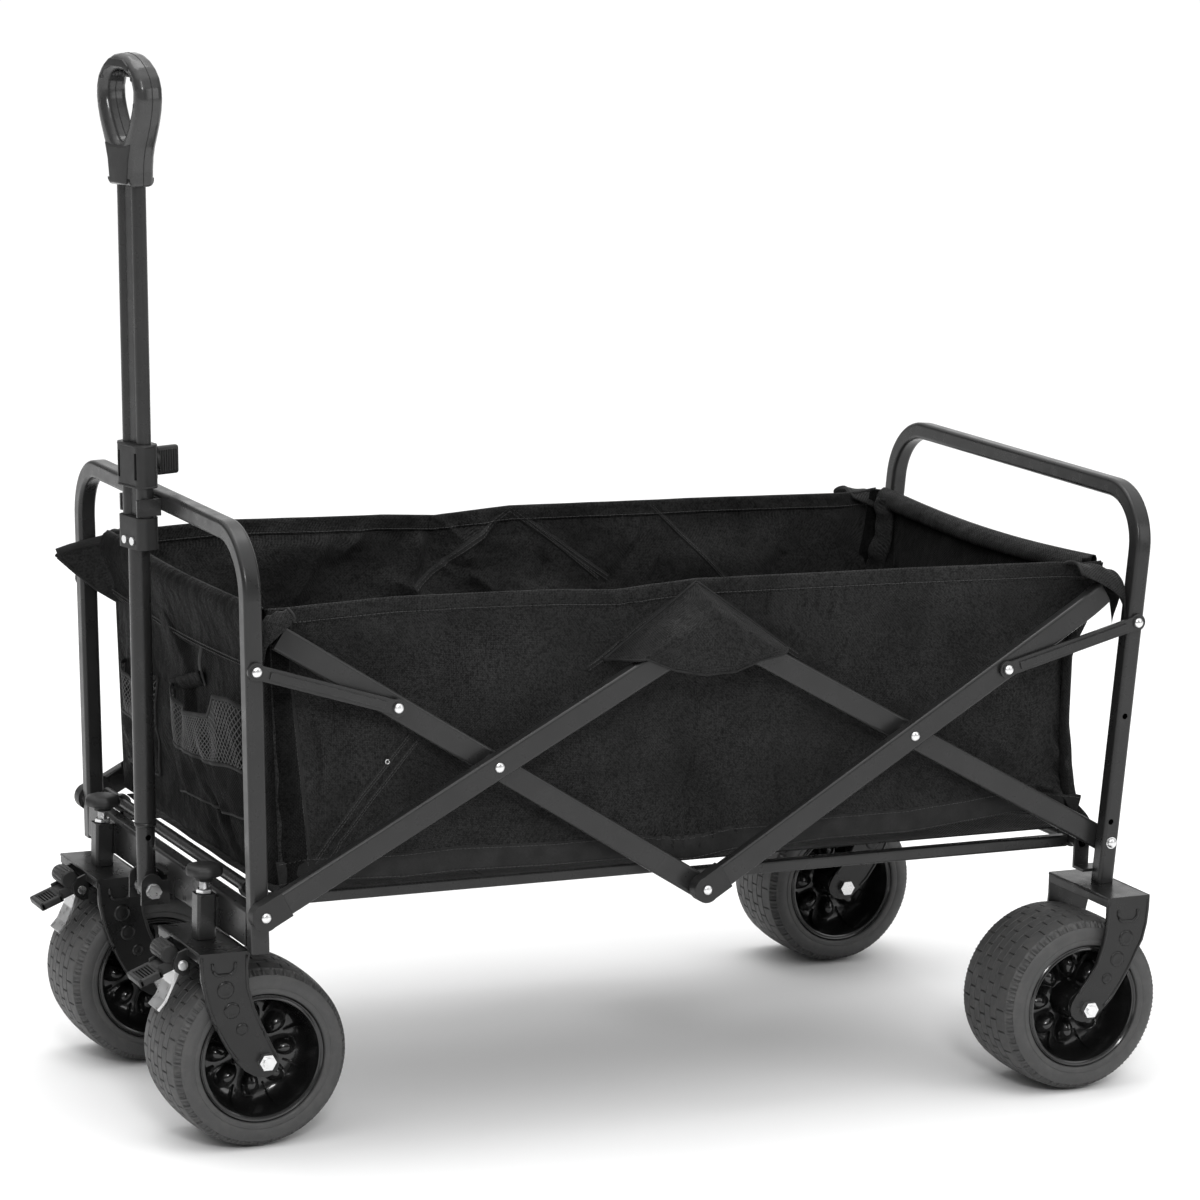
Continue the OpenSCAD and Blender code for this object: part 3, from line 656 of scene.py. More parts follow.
def tyre_mesh():
    """Brick-pattern tread between toothed shoulders, on a smooth sidewall with a stepped bead."""
    bricks, groove, tooth_depth, tooth_step = 24, 1.5, 2.1, 1.5
    half_brick = 360 / bricks / 2
    marks = np.array([0.0, 0.32, 0.7, 1.5, 3.0, 4.5, 6.0, 6.8])
    angle = np.concatenate([k * half_brick + marks for k in range(2 * bricks)])
    t = np.radians(angle)

    def ring(radius, y):
        return np.stack([radius * np.cos(t), np.full(len(t), y), radius * np.sin(t)], 1)

    rings = []
    for y, r, row, tooth in tyre_profile():
        radius = np.full(len(angle), r)
        if row >= 0:
            phase = (angle + (half_brick if row % 2 else 0)) % (2 * half_brick)
            gap = np.minimum(phase, 2 * half_brick - phase)
            radius -= groove * (1 - smooth((gap - 0.3) / 0.35))
        if tooth:
            radius -= tooth_depth * (np.floor(angle / tooth_step + 1e-6) % 2)
        rings.append(ring(radius, y))
    rings += [ring(r, y) for y, r in ((-44.0, 62.9), (0.0, 61.2), (44.0, 62.9))]
    return join_meshes("tyre", [(np.array(rings), grid_faces(len(rings), len(angle), True, True))])


def ring_part(profile, sides=96):
    """Part: a closed (radius, y) outline turned about the Y axis."""
    t = np.arange(sides) * 2 * math.pi / sides
    rings = [np.stack([r * np.cos(t), np.full(sides, y), r * np.sin(t)], 1) for r, y in profile]
    return np.array(rings), grid_faces(len(profile), sides, True, True)


def dish_rib(side):
    """Part: a thin rib that climbs the dish's wall to the rim."""
    rows = []
    for r, top in ((38.0, 12.0), (42.0, 14.4), (48.0, 17.0), (51.5, 21.5), (54.2, 31.0), (55.8, 43.0)):
        half = [(top - 6.0, 1.1), (top - 1.0, 0.9), (top, 0.3)]
        rows.append([(r, y * side, -w) for y, w in half] + [(r, y * side, w) for y, w in half[::-1]])
    return np.array(rows).reshape(-1, 3), capped_faces(len(rows), 6)


def dish_lobe(side):
    """Part: an egg-shaped swelling between two ribs, wider towards the rim."""
    rows, sides, pole = 12, 20, 0.02
    v, u = np.meshgrid(
        np.linspace(pole, math.pi - pole, rows), np.arange(sides) * 2 * math.pi / sides, indexing="ij"
    )
    x = 34.0 + 13.5 * np.cos(v)
    y = side * (11.0 + 14.0 * np.sin(v) * np.cos(u))
    z = (9.4 + 2.2 * np.cos(v)) * np.sin(v) * np.sin(u)
    return np.stack([x, y, z], 2).reshape(-1, 3), capped_faces(rows, sides)


def hub_mesh():
    """Deep polished dish with eight thin ribs, eight egg-shaped lobes, a ribbed boss and rim rings."""
    count, web, lip = 8, 9.0, 47.6
    rim = [(62.6, 45.6), (62.6, lip), (61.6, 48.4), (60.4, 47.4), (59.6, 47.6), (58.9, 48.0), (57.8, lip)]
    dish = [(57.0, 45.2), (56.0, 38.0), (55.2, 28.0), (53.6, 19.0), (49.0, 12.6), (42.0, 10.0)]
    boss = [(20.0, web), (17.0, 11.0), (16.2, 20.0), (15.2, 38.0), (13.8, 42.5), (12.4, 43.4)]
    bore = [(9.0, 43.4), (8.4, 41.0), (5.4, 40.5)]
    face = rim + dish + boss + bore
    parts = [ring_part(face + [(r, -y) for r, y in face[::-1]])]
    for side in (1, -1):
        nub = box_part((2.0, 30.0, 2.4), (16.4, side * 24.0, 0), None, 0.6)
        for shape, offset in ((dish_rib(side), 0.5), (dish_lobe(side), 0.0), (nub, 0.25)):
            for k in range(count):
                turn = turn_y(360 * (k + offset) / count)
                parts += moved([shape], lambda p: turned(p, turn))
    return join_meshes("hub", parts)


def place_wheel_mesh(mesh, name, node, body):
    low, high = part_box(node)
    obj = link_object(bpy.data.objects.new(name, mesh))
    obj.location = (low + high) / 2 - Vector((MID_X * MM, 0, 0))
    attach(obj, body)
    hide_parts(node)


def make_wheels():
    tyre, hub = tyre_mesh(), hub_mesh()
    for mesh, material in ((tyre, RUBBER), (hub, GLOSS)):
        shade_sharp(mesh, 38)
        mesh.materials.append(material)
    for end in ("front", "rear"):
        for side, _ in SIDES:
            place, body = f"{end}_{side}", f"{end}_wheel_{side}"
            place_wheel_mesh(tyre, "tread_" + place, "tyre_" + place, body)
            place_wheel_mesh(hub, "dish_" + place, "hub_" + place, body)


# ---------------------------------------------------------------------------------------------
# Pressed details on the forks, pedals, knobs


def dome(x, z, y, radius, side):
    """Part: a pressed round boss standing out of a fork plate."""
    height = 1.5
    profile = [
        (radius + 1.2, -0.3), (radius, 0.5 * height), (radius - 1.4, height),
        (radius - 3.0, height * 0.75), (0.6, height * 0.7),
    ]
    return round_part(profile, 28, turn_x(-90 if side > 0 else 90), (x, y, z))


def pressed_u(x, z, y, reach):
    """Part: the raised U below a fork's top."""
    half = [(reach, 6), (reach - 0.6, -1), (reach - 4.5, -5.5)]
    path = [(x - r, y, z + h) for r, h in half] + [(x + r, y, z + h) for r, h in half[::-1]]
    return tube(resample(path, 2), 1.7, 8)


U_REACH = 11.5
FRONT_FORK = dict(
    edges=(
        [(505.2, 196), (503.8, 175), (497.6, 149.5), (491, 132), (482.5, 115.4), (475.5, 103.4), (467.4, 93)],
        [(460.2, 196), (460.2, 182), (459.2, 164), (452.8, 143), (443.2, 121.6), (432.6, 100.4), (428.6, 93)],
    ),
    u=(483.0, 184.0), bosses=((481.0, 163.5, 8.0), (474.5, 143.0, 7.4), (464.0, 124.0, 5.4)),
    node="caster_fork_", body="caster_", shift=CASTER_SHIFT, top=200.0,
)
REAR_FORK = dict(
    edges=(
        [
            (-425.4, 198), (-425.4, 181), (-424.3, 167.6), (-421.2, 154.3), (-414.6, 134.3),
            (-403.8, 118.2), (-394.6, 106.8),
        ],
        [
            (-471, 198), (-471, 190), (-469.6, 174), (-465.6, 157.2), (-461.3, 149), (-452.8, 131),
            (-442.2, 113), (-433.4, 100), (-424.4, 90.6),
        ],
    ),
    u=(-448.0, 183.0), bosses=((-447.0, 160.0, 7.6), (-438.0, 139.0, 7.4), (-427.0, 119.5, 5.2)),
    node="rear_fork_", body=None, shift=0.0, top=box_mm("rear_fork_left")[1][2],
)


def make_fork_pressings():
    """The raised U, the row of round bosses and the rolled edges on each fork plate."""
    for end, fork in (("front", FRONT_FORK), ("rear", REAR_FORK)):
        for side, sign in SIDES:
            low, high = box_mm(fork["node"] + side)
            inner, outer = sorted((abs(low[1]), abs(high[1])))
            ux, uz = fork["u"]
            parts = []
            for y, out in ((outer, 1), (inner, -1)):
                for edge in fork["edges"]:
                    parts.append(tube(resample([(x, y - out * 0.3, z) for x, z in edge], 4), 1.5, 8))
                parts.append(pressed_u(ux, uz, y, U_REACH))
                parts += [dome(x, z, y - out * 0.1, radius, out) for x, z, radius in fork["bosses"]]
            top = fork["top"]
            for x in (ux - U_REACH - 12.5, ux + U_REACH + 12.5):
                middle = (x, (inner + outer) / 2, top - 1.0)
                parts.append(tube([(x, inner + 1, top - 1.2), middle, (x, outer - 1, top - 1.2)], 1.5, 8))
            parts = mirrored(moved(parts, lambda p: p + (fork["shift"], 0, 0)), sign)
            body = fork["body"] + side if fork["body"] else "rear_frame"
            joined(f"{end}_fork_pressings_{side}", parts, SHADED_FORK_PAINT, body)


def make_caster_knobs():
    for side, _ in SIDES:
        low, high = box_mm("caster_knob_" + side)
        x, y = (low[0] + high[0]) / 2, (low[1] + high[1]) / 2
        top = high[2]
        below = (
            (6.0, 16.4), (8.6, 16.2), (9.4, 12.6), (14.6, 12.0), (17.2, 10.6), (17.9, 7.8), (17.7, 4.8),
            (16.0, 2.2), (12.0, 0.7), (6.0, 0.1), (0.6, 0.0),
        )
        disc = round_part([(r, top - drop) for r, drop in below], 96, None, (x, y, 0), 8, 0.022)
        knob = joined("star_knob_" + side, [disc], PLASTIC, "caster_knob_" + side)
        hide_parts("caster_knob_" + side)
        turns = np.arange(0, 9 * 2 * math.pi, 0.35)
        rise = top - 28.5 + turns / (2 * math.pi) * 1.15
        thread = np.stack([x + 4.5 * np.cos(turns), y + 4.5 * np.sin(turns), rise], 1)
        nut = [(7.2, top - 28.9), (8.0, top - 28.2), (8.0, top - 25.2), (7.2, top - 24.6)]
        screw = [
            round_part([(4.4, low[2]), (4.4, top - 18.0)], 32, None, (x, y, 0)),
            tube(thread, 0.5, 6),
            round_part(nut, 6, None, (x, y, 0)),
        ]
        joined("knob_screw_" + side, screw, ZINC, "caster_knob_" + side, shade=False)


def pedal_parts(pin):
    """A long framed pad with a ribbed window, a ribbed round release pad and two cheeks, round a pin."""
    tilt = turn_y(22)

    def on_pad(along, across, lift):
        return pin + turned((along, across, lift), tilt)[0]

    boxes = [((25.0, 4.8, 7.6), (31.5, across, -1.4), 1.6, 3) for across in (-15.6, 15.6)]
    boxes += [((length, 36.0, 7.6), (along, 0, -1.4), 1.6, 3) for along, length in ((21.6, 5.0), (41.2, 5.4))]
    boxes.append(((18.0, 29.0, 3.0), (31.4, 0, -3.0), 0.4, 1))
    boxes += [((1.7, 28.0, 3.2), (25.4 + 3.0 * k, 0, -0.6), 0.6, 2) for k in range(5)]
    boxes.append(((22.0, 23.0, 8.0), (11.0, 0, 0.2), 2.2, 3))
    boxes += [((22.0, 3.0, 11.0), (9.0, across, 1.0), 1.2, 2) for across in (-13.0, 13.0)]
    parts = [box_part(size, on_pad(*place), tilt, bevel, segments) for size, place, bevel, segments in boxes]
    hump, hump_radius = pin + np.array([10.0, 0, 9.0]), 9.0
    parts.append(round_part([(7.4, -20.4), (8.0, -19.8), (8.0, 19.8), (7.4, 20.4)], 40, turn_x(90), pin))
    parts.append(round_part([(7.6, -16.4), (8.9, -15.0), (8.9, 15.0), (7.6, 16.4)], 40, turn_x(90), hump))
    for degrees in range(-35, 98, 22):
        a = math.radians(degrees)
        ridge = hump + np.array([math.sin(a), 0, math.cos(a)]) * hump_radius
        parts.append(box_part((1.5, 26.0, 1.6), ridge, turn_y(degrees), 0.5, 1))
    return parts


def make_pedals():
    for side, sign in SIDES:
        low, high = box_mm("caster_fork_" + side)
        pin = np.array([512.0 + CASTER_SHIFT, (abs(low[1]) + abs(high[1])) / 2, 182.0])
        mesh = join_meshes("pedal", mirrored(pedal_parts(pin), sign))
        shade_sharp(mesh, 40)
        pedal = add_object("pedal_" + side, mesh, PLASTIC, "brake_" + side, shade=False)
        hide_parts("brake_pedal_" + side)


def rivet_part(x, z, start, end):
    """Part: a pin along +Y with a flat head inside, a domed one outside and, if long, a washer between."""
    low = [(0.4, start - 1.5), (4.2, start - 1.4), (4.7, start - 0.7), (4.7, start), (3.0, start)]
    washer = [(3.0, 242.4), (8.6, 242.6), (8.6, 246.6), (3.0, 246.8)] if start < 230 else []
    head = [(3.0, 0), (4.9, 0), (4.9, 0.5), (4.3, 1.5), (3.0, 2.2), (0.4, 2.5)]
    profile = low + washer + [(r, end + rise) for r, rise in head]
    return round_part(profile, 28, turn_x(-90), (x, 0, z))


def make_rivets():
    """Domed rivets where the arms cross and at both ends of each link."""
    at = {name: local(joint["pos_m"]) for name, joint in JOINTS.items() if "pos_m" in joint}
    slope = math.radians(31.56)
    reach = 118.0 * np.array([math.cos(slope), 0, math.sin(slope)])
    crossing = (228.6, 260.2)
    groups = {
        "outer_front_arms": [
            (at["fold"], 228.6, 260.8), (at["front_cross"], *crossing), (at["top_joint"], *crossing)
        ],
        "outer_rear_arms": [((0.0, 0, 234.0), 243.0, 260.8), (at["rear_cross"], *crossing)],
        "rear_frame": [(at["rear_leg_joint"], 261.6, 262.4)],
        "front_links": [
            (at["front_link_joint"], 250.4, 251.2), (at["front_cross"] + reach, 250.4, 251.2)
        ],
        "rear_links": [
            (at["rear_link_joint"], 264.7, 265.5), (at["rear_cross"] + reach * (-1, 1, 1), 264.7, 265.5)
        ],
    }
    replaced = {"outer_front_arms": "front_arm_rivets", "outer_rear_arms": "rear_arm_rivets"}
    for body, pins in groups.items():
        parts = [rivet_part(place[0], place[2], start, end) for place, start, end in pins]
        rivets = joined("rivets_" + body, parts + mirrored(parts, -1.0), ZINC, body)
        if body in replaced:
            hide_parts(replaced[body])


# ---------------------------------------------------------------------------------------------
# Handle


LEAN, TURN = 1.8, 12.0
HANDLE_PIVOT = np.array([483.0, 0.0, 214.0])


def on_handle(points):
    """Points drawn upright above the handle's pivot, turned and leaned with its upper half."""
    return turned(points, turn_y(LEAN) @ Matrix.Rotation(math.radians(TURN), 4, "Z")) + HANDLE_PIVOT


def both_ways(pairs):
    return pairs + [(-y, z) for y, z in pairs[::-1]]


GRIP_OUTER = both_ways([
    (0.6, 811.0), (11.0, 809.6), (21.5, 805.2), (30.5, 798.6), (37.4, 790.0), (41.2, 779.6), (42.0, 768.6),
    (40.4, 757.4), (36.8, 745.4), (32.0, 733.6), (27.2, 722.6), (24.4, 713.0), (23.0, 702.0), (22.2, 686.0),
])
GRIP_HOLE = both_ways([
    (0.6, 794.6), (9.0, 793.6), (17.0, 789.8), (22.2, 784.0), (24.8, 776.6), (24.4, 768.0), (21.6, 758.4),
    (17.4, 748.4), (12.6, 739.4), (8.0, 732.6), (3.6, 729.4), (0.6, 729.0),
])


def curve_plate(name, loops, half_depth, bevel):
    """Part: a plate with rounded edges from 2D loops with even-odd holes, its depth along x."""
    data = bpy.data.curves.new(name, "CURVE")
    data.dimensions = "2D"
    data.fill_mode = "BOTH"
    data.extrude = half_depth - bevel
    data.bevel_depth = bevel
    data.bevel_resolution = 4
    data.offset = -bevel
    for loop in loops:
        fine = resample(loop + loop[:1], 2.4)[:-1]
        spline = data.splines.new("POLY")
        spline.points.add(len(fine) - 1)
        for p, (y, z) in zip(spline.points, fine):
            p.co = (y, z, 0, 1)
        spline.use_cyclic_u = True
    obj = link_object(bpy.data.objects.new(name, data))
    bpy.context.view_layer.update()
    mesh = bpy.data.meshes.new_from_object(obj.evaluated_get(bpy.context.evaluated_depsgraph_get()))
    bm = bmesh.new()
    bm.from_mesh(mesh)
    bmesh.ops.remove_doubles(bm, verts=bm.verts, dist=0.01)
    bm.verts.index_update()
    points = np.array([(v.co.z, v.co.x, v.co.y) for v in bm.verts], float)
    faces = [[v.index for v in f.verts] for f in bm.faces]
    bm.free()
    bpy.data.objects.remove(obj)
    bpy.data.curves.remove(data)
    bpy.data.meshes.remove(mesh)
    return points, faces


def make_grip():
    slide, half_depth = "handle_slide", 14.0
    body = moved([curve_plate("grip_curve", [GRIP_OUTER, GRIP_HOLE], half_depth, 8.0)], on_handle)
    shells = joined("grip_shells", body, GRIP, slide)
    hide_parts("grip_front_shell", "grip_rear_shell")
    seam = []
    for loop in (GRIP_OUTER, GRIP_HOLE):
        path = [(0, y, z) for y, z in resample(loop + loop[:1], 3)[:-1]]
        seam.append(tube(on_handle(path), 0.45, 6, closed=True))
    joined("grip_parting_line", seam, PLASTIC, slide)

    # grained insets at the neck and the crown, and finger ridges under the crown
    neck = [(-15, 689), (15, 689), (18, 712), (22.5, 727), (9, 724), (-9, 724), (-22.5, 727), (-18, 712)]
    crown = [
        (-19.5, 795), (-10, 798.6), (10, 798.6), (19.5, 795), (22, 799), (11.5, 806), (-11.5, 806), (-22, 799)
    ]
    insets = [curve_plate("inset", [loop], 1.6, 0.8) for loop in (neck, crown)]
    parts = moved(insets, lambda p: on_handle(p + (half_depth - 0.6, 0, 0)))
    for k in range(5):
        y = -12.4 + 6.2 * k
        sink = abs(y) * 0.14
        path = [(-9.5, y, 793.2 - sink), (0, y, 791.8 - sink), (9.5, y, 793.2 - sink)]
        parts.append(tube(on_handle(resample(path, 2)), 2.3, 10))
    joined("grip_insets", parts, PLASTIC, slide)

    well = [(2.1, -0.8), (2.2, 0.2), (1.7, 0.4), (1.4, -0.3), (0.3, -0.4)]
    screws = []
    for y, z in ((12, 694), (16, 716), (27, 788), (31, 764)):
        for side in (-1, 1):
            x = half_depth + (0.6 if y < 20 else -0.2)
            screws.append(round_part(well, 20, turn_y(90), (x, side * y, z)))
    joined("grip_screws", moved(screws, on_handle), GLOSS, slide)


def make_clamp_knob():
    """Flat ribbed turning knob on the clamp's screw."""
    wide, high, thick, x_middle, z_middle = 25.0, 28.0, 7.4, -32.6, 420.0
    inset, ribs = 3.2, 8
    parts = [box_part((wide, thick, high), (x_middle, 0, z_middle), None, 2.8, 4)]
    for face in (-1, 1):
        for k in range(ribs):
            x = x_middle - wide / 2 + inset + k * (wide - 2 * inset) / (ribs - 1)
            end = high / 2 - 3.4
            rises = ((-end, 0.1), (0, 0.2), (end, 0.1))
            path = [(x, face * (thick / 2 + rise), z_middle + along) for along, rise in rises]
            parts.append(tube(resample(path, 4), 1.15, 8))
    neck = [(7.6, -22.4), (8.4, -21.6), (8.4, -18.6), (7.0, -17.4)]
    parts.append(round_part(neck, 40, turn_y(90), (0, 0, z_middle)))
    parts.append(round_part([(3.0, -24.0), (3.0, -8.2)], 24, turn_y(90), (0, 0, z_middle)))
    mesh = join_meshes("turning_knob", moved(parts, on_handle))
    shade_sharp(mesh, 45)
    knob = add_object("turning_knob", mesh, PLASTIC, "clamp_knob", shade=False)
    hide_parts("clamp_knob")


def make_handle_trim():
    """Lips round the moulded clamp, and the rolled end of the lower tube."""
    quarter = [(12.1, 15), (8.8, 20.6), (3, 24.5)]
    half = quarter + [(-x, y) for x, y in quarter[::-1]]
    loop = half + [(-x, -y) for x, y in half]
    lips = []
    for z in (399.0, 438.6):
        path = resample([(x, y, z) for x, y in loop[-1:] + loop], 3)[:-1]
        lips.append(tube(on_handle(path), 1.0, 8, closed=True))
    joined("clamp_lips", lips, PLASTIC, "handle")
    rolled = round_part([(9.2, 61.0), (10.6, 61.6), (10.9, 63.4), (10.6, 65.4), (9.2, 66.2)], 48)
    joined("lower_tube_lip", moved([rolled], on_handle), PAINT, "handle")


# ---------------------------------------------------------------------------------------------
# Basket: how its cloth hangs. Outlines are (place, height) pairs and wrinkles are lines with a width
# and a depth, where depth counts outward.


def ripples(a, b, seed, wavelength, size):
    """Smooth random unevenness over a plane, the same at every run."""
    count = 7
    draw = np.random.RandomState(seed)
    total = np.zeros(np.broadcast(a, b).shape)
    for _ in range(count):
        heading, phase = draw.uniform(0, 2 * math.pi, 2)
        k = 2 * math.pi / (wavelength * draw.uniform(0.7, 1.5))
        total += np.sin(k * (a * math.cos(heading) + b * math.sin(heading)) + phase)
    return total * size / math.sqrt(count)


def crease(a, b, line, width, depth):
    """A fold along a line (a0, b0, a1, b1) that fades at its ends."""
    a0, b0, a1, b1 = line
    da, db = a1 - a0, b1 - b0
    long = math.hypot(da, db)
    along = ((a - a0) * da + (b - b0) * db) / long
    off = ((a - a0) * db - (b - b0) * da) / long
    spill, ramp = 0.25 * width, 0.35 * long
    fade = smooth((along + spill) / ramp) * smooth((long + spill - along) / ramp)
    bow = 0.06 * long * np.sin(math.pi * np.clip(along / long, 0, 1))
    return depth * np.exp(-(((off - bow) / width) ** 2)) * fade


def ruck(a, b, line, width, depth):
    """A sharper wrinkle: a ridge with a hollow beside it."""
    shift = width * 0.9
    a0, b0, a1, b1 = line
    long = math.hypot(a1 - a0, b1 - b0)
    na, nb = (b1 - b0) / long * shift, -(a1 - a0) / long * shift
    beside = (a0 + na, b0 + nb, a1 + na, b1 + nb)
    return crease(a, b, line, width * 0.75, depth) - crease(a, b, beside, width, depth * 0.8)


def wrinkles(shape, a, b, entries):
    """The sum of one shape of wrinkle over (line, width, depth) entries."""
    return sum(shape(a, b, *entry) for entry in entries)


SIDE_PLANE, WALL_THICK, TRIM_THICK = 221.0, 1.1, 0.9
SIDE_RIM = (
    (-446, 531), (-426, 529), (-225, 531.5), (5, 533), (60, 529), (91, 526.5), (150, 530), (320, 532),
    (431, 527), (450, 527),
)
SIDE_HEM = (
    (-463, 258), (-432, 266), (-363, 274), (-323, 271), (-238, 263.5), (-140, 264), (-93, 261), (-48, 262),
    (0, 255), (34, 257), (60, 261), (150, 261), (250, 264), (300, 262), (406, 267), (440, 262),
)
REAR_EDGE = (
    (256, -459), (267, -451), (278, -440), (300, -434), (321, -431), (360, -429), (431, -429), (451, -433),
    (480, -439), (535, -447),
)
SIDE_FOLDS = (
    ((430, 300, 60, 500), 40, 3.0), ((432, 415, 130, 530), 30, -9.0), ((274, 420, 238, 530), 16, -4.0),
    ((250, 330, 60, 400), 45, -6.0), ((-20, 300, -20, 470), 60, -7.0), ((-160, 485, -410, 514), 17, 3.4),
    ((-165, 462, -330, 452), 30, -9.0), ((-265, 398, -335, 458), 15, 2.6), ((-230, 300, -380, 420), 40, -6.0),
    ((-420, 480, -425, 330), 18, -5.0), ((-330, 300, -250, 350), 30, 2.5), ((330, 290, 200, 300), 26, -4.0),
)
SIDE_RUCKS = (
    ((92, 529, 57, 497), 5.5, -4.5), ((112, 524, 84, 508), 5, -3.5), ((90, 480, 66, 464), 5, -3.2),
    ((0, 444, -6, 368), 4.0, -2.4), ((-6, 372, 16, 300), 5.0, -2.6), ((-74, 526, -70, 495), 3.2, -2.4),
    ((-109, 527, -114, 488), 3.2, -2.8), ((-126, 525, -128, 492), 3.0, -2.0),
    ((-146, 525, -139, 482), 3.4, -3.0), ((-158, 520, -160, 496), 3.0, -1.8),
    ((-166, 476, -151, 440), 4.5, -2.6), ((-190, 452, -181, 415), 4.5, 1.8),
    ((31, 258, 27, 305), 4.5, -3.4), ((18, 256, 20, 292), 4.0, 3.2), ((4, 256, 2, 312), 4.5, -3.6),
    ((-12, 257, -14, 296), 4.0, 3.2), ((-27, 259, -36, 308), 4.5, -3.2), ((-44, 262, -58, 300), 5.0, 2.4),
    ((-324, 356, -368, 330), 5.5, 3.0), ((-392, 350, -428, 287), 6.5, -4.4),
    ((-407, 376, -417, 335), 5.0, -3.8), ((-399, 312, -430, 298), 5.0, 3.4),
    ((-380, 300, -428, 275), 6.0, -3.6), ((-412, 420, -424, 392), 4.5, -2.8),
    ((-345, 282, -400, 300), 7.0, 2.4), ((405, 442, 394, 323), 5.0, -4.4),
    ((388, 300, 340, 280), 6.0, 2.6), ((420, 350, 405, 300), 5.0, -2.6),
    ((231, 461, 274, 420), 9.0, -2.6), ((180, 520, 120, 500), 9.0, 1.8),
)
FAR_FOLDS = (
    ((214, 532, 252, 436), 12, -8.0), ((164, 534, 212, 480), 9, -7.0), ((106, 520, 124, 442), 11, -9.0),
    ((80, 524, 128, 444), 16, 7.0), ((30, 530, 60, 470), 14, -9.0), ((12, 526, 52, 480), 7, 6.0),
    ((60, 470, 20, 440), 9, -7.0), ((-40, 480, -22, 446), 9, 5.0), ((-140, 486, -106, 444), 8, 4.0),
    ((-309, 448, -328, 470), 8, 3.0), ((150, 470, 90, 430), 16, -8.0), ((200, 500, 170, 440), 18, 6.0),
)
FRONT_RUCKS = (
    ((-120, 440, -60, 330), 14, 4.0), ((150, 440, 190, 300), 12, 3.0), ((60, 300, 190, 285), 9, 3.0),
    ((-150, 300, -60, 280), 12, -3.0), ((100, 318, 124, 308), 5, 3.0), ((-170, 420, -190, 300), 9, 3.5),
    ((20, 450, 30, 300), 20, -6.5), ((190, 420, 205, 300), 9, -5.0), ((60, 340, 150, 270), 8, -6.0),
    ((40, 300, 110, 276), 7, 4.0), ((-60, 500, 30, 440), 14, -5.0),
)
REAR_RUCKS = (
    ((-190, 500, -150, 400), 8, 5.0), ((-170, 470, -60, 440), 16, -4.0), ((160, 480, 80, 400), 18, 4.0),
    ((0, 500, 20, 300), 26, -4.0), ((-120, 330, -180, 280), 10, 4.0), ((130, 320, 190, 275), 10, -4.0),
)


def rear_edge(z):
    return table(z, REAR_EDGE)


def front_edge(z):
    return 433.5 + (np.asarray(z) - 252) * math.tan(math.radians(3.2))


def side_bulge(x, z, side):
    """How far the side cloth stands out of its flat plane, in mm, outward."""
    x, z = np.asarray(x, float), np.asarray(z, float)
    height = np.clip((z - 256) / 272, 0, 1)
    slack = np.sin(math.pi * height) * np.cos(np.clip(x / 455, -1, 1) * math.pi / 2) ** 0.5
    broad, fine = (3, 5) if side > 0 else (8, 9)
    d = -5.0 * slack + ripples(x, z, broad, 150, 1.6) + ripples(x, z, fine, 48, 0.45)
    d = d + wrinkles(crease, x, z, SIDE_FOLDS) + wrinkles(ruck, x, z, SIDE_RUCKS)
    if side < 0:
        d = d + wrinkles(crease, x, z, FAR_FOLDS)
        d = d + wrinkles(ruck, x, z, [(line, width * 0.4, depth * 0.3) for line, width, depth in FAR_FOLDS])
    taut = smooth((528 - z) / 26) * smooth((z - 258) / 14)
    d = d * (0.35 + 0.65 * taut)
    limit = 2.6
    d = np.where(d > 0, limit * np.tanh(d / limit), d)
    flare = 15.0 * smooth((-385 - x) / 62) * smooth((z - 415) / 90)
    return d + flare


def side_point(x, z, side, lift=0.0):
    x, z = np.asarray(x, float), np.asarray(z, float)
    return np.stack([x, side * (SIDE_PLANE + side_bulge(x, z, side) + lift), z], -1)


def front_out(y, z):
    """How far the front cloth stands forward of its plane."""
    inside = smooth((205 - np.abs(y)) / 30) * smooth((z - 262) / 16) * smooth((531 - z) / 14)
    d = ripples(y, z, 31, 120, 1.6) + ripples(y, z, 32, 45, 0.5) + 1.5 + wrinkles(ruck, y, z, FRONT_RUCKS)
    return np.clip(d, -8, 4.0) * inside


def rear_out(y, z):
    """How far the rear cloth stands back from its plane."""
    inside = smooth((207 - np.abs(y)) / 26) * smooth((z - 262) / 16) * smooth((534 - z) / 14)
    d = ripples(y, z, 61, 130, 1.8) + ripples(y, z, 62, 48, 0.6) + wrinkles(ruck, y, z, REAR_RUCKS)
    return np.clip(d, -9, 4.0) * inside


def front_rim_height(y):
    """The front rim, which dips a little in the middle."""
    return 523.0 + 5.0 * np.abs(np.asarray(y) / 222.0) ** 1.5


def rear_rim_height(y):
    part = np.asarray(y) / 222.0
    return 530.5 + 3.0 * np.abs(part) ** 2 - 5.0 * np.cos(part * math.pi / 2)


def front_seam_x(z):
    return table(z, ((262, 400), (284, 402), (337, 408), (415, 418), (470, 424), (530, 427)))


def rear_seam_x(z):
    return rear_edge(z) + 16


# ---------------------------------------------------------------------------------------------
# Basket: the side walls and the floor


def stitches(line, point):
    """Parts: short raised threads along a line; point(place, height) gives the surface."""
    length, pitch, radius = 3.4, 4.6, 0.42
    path = resample(line, pitch)
    share = length / pitch
    steps = ((0.0, -0.2), (0.25 * share, 0.45), (0.75 * share, 0.45), (share, -0.2))
    parts = []
    for a, b in zip(path[:-1], path[1:]):
        parts.append(tube([point(a + (b - a) * t, height) for t, height in steps], radius, 5))
    return parts


def side_stitches(line, side, lift, face=1):
    """Stitches on the outer face (1) or the inner face (-1) of a side wall."""
    return stitches(line, lambda q, h: side_point(q[0], q[1], side, face * (lift + h)))


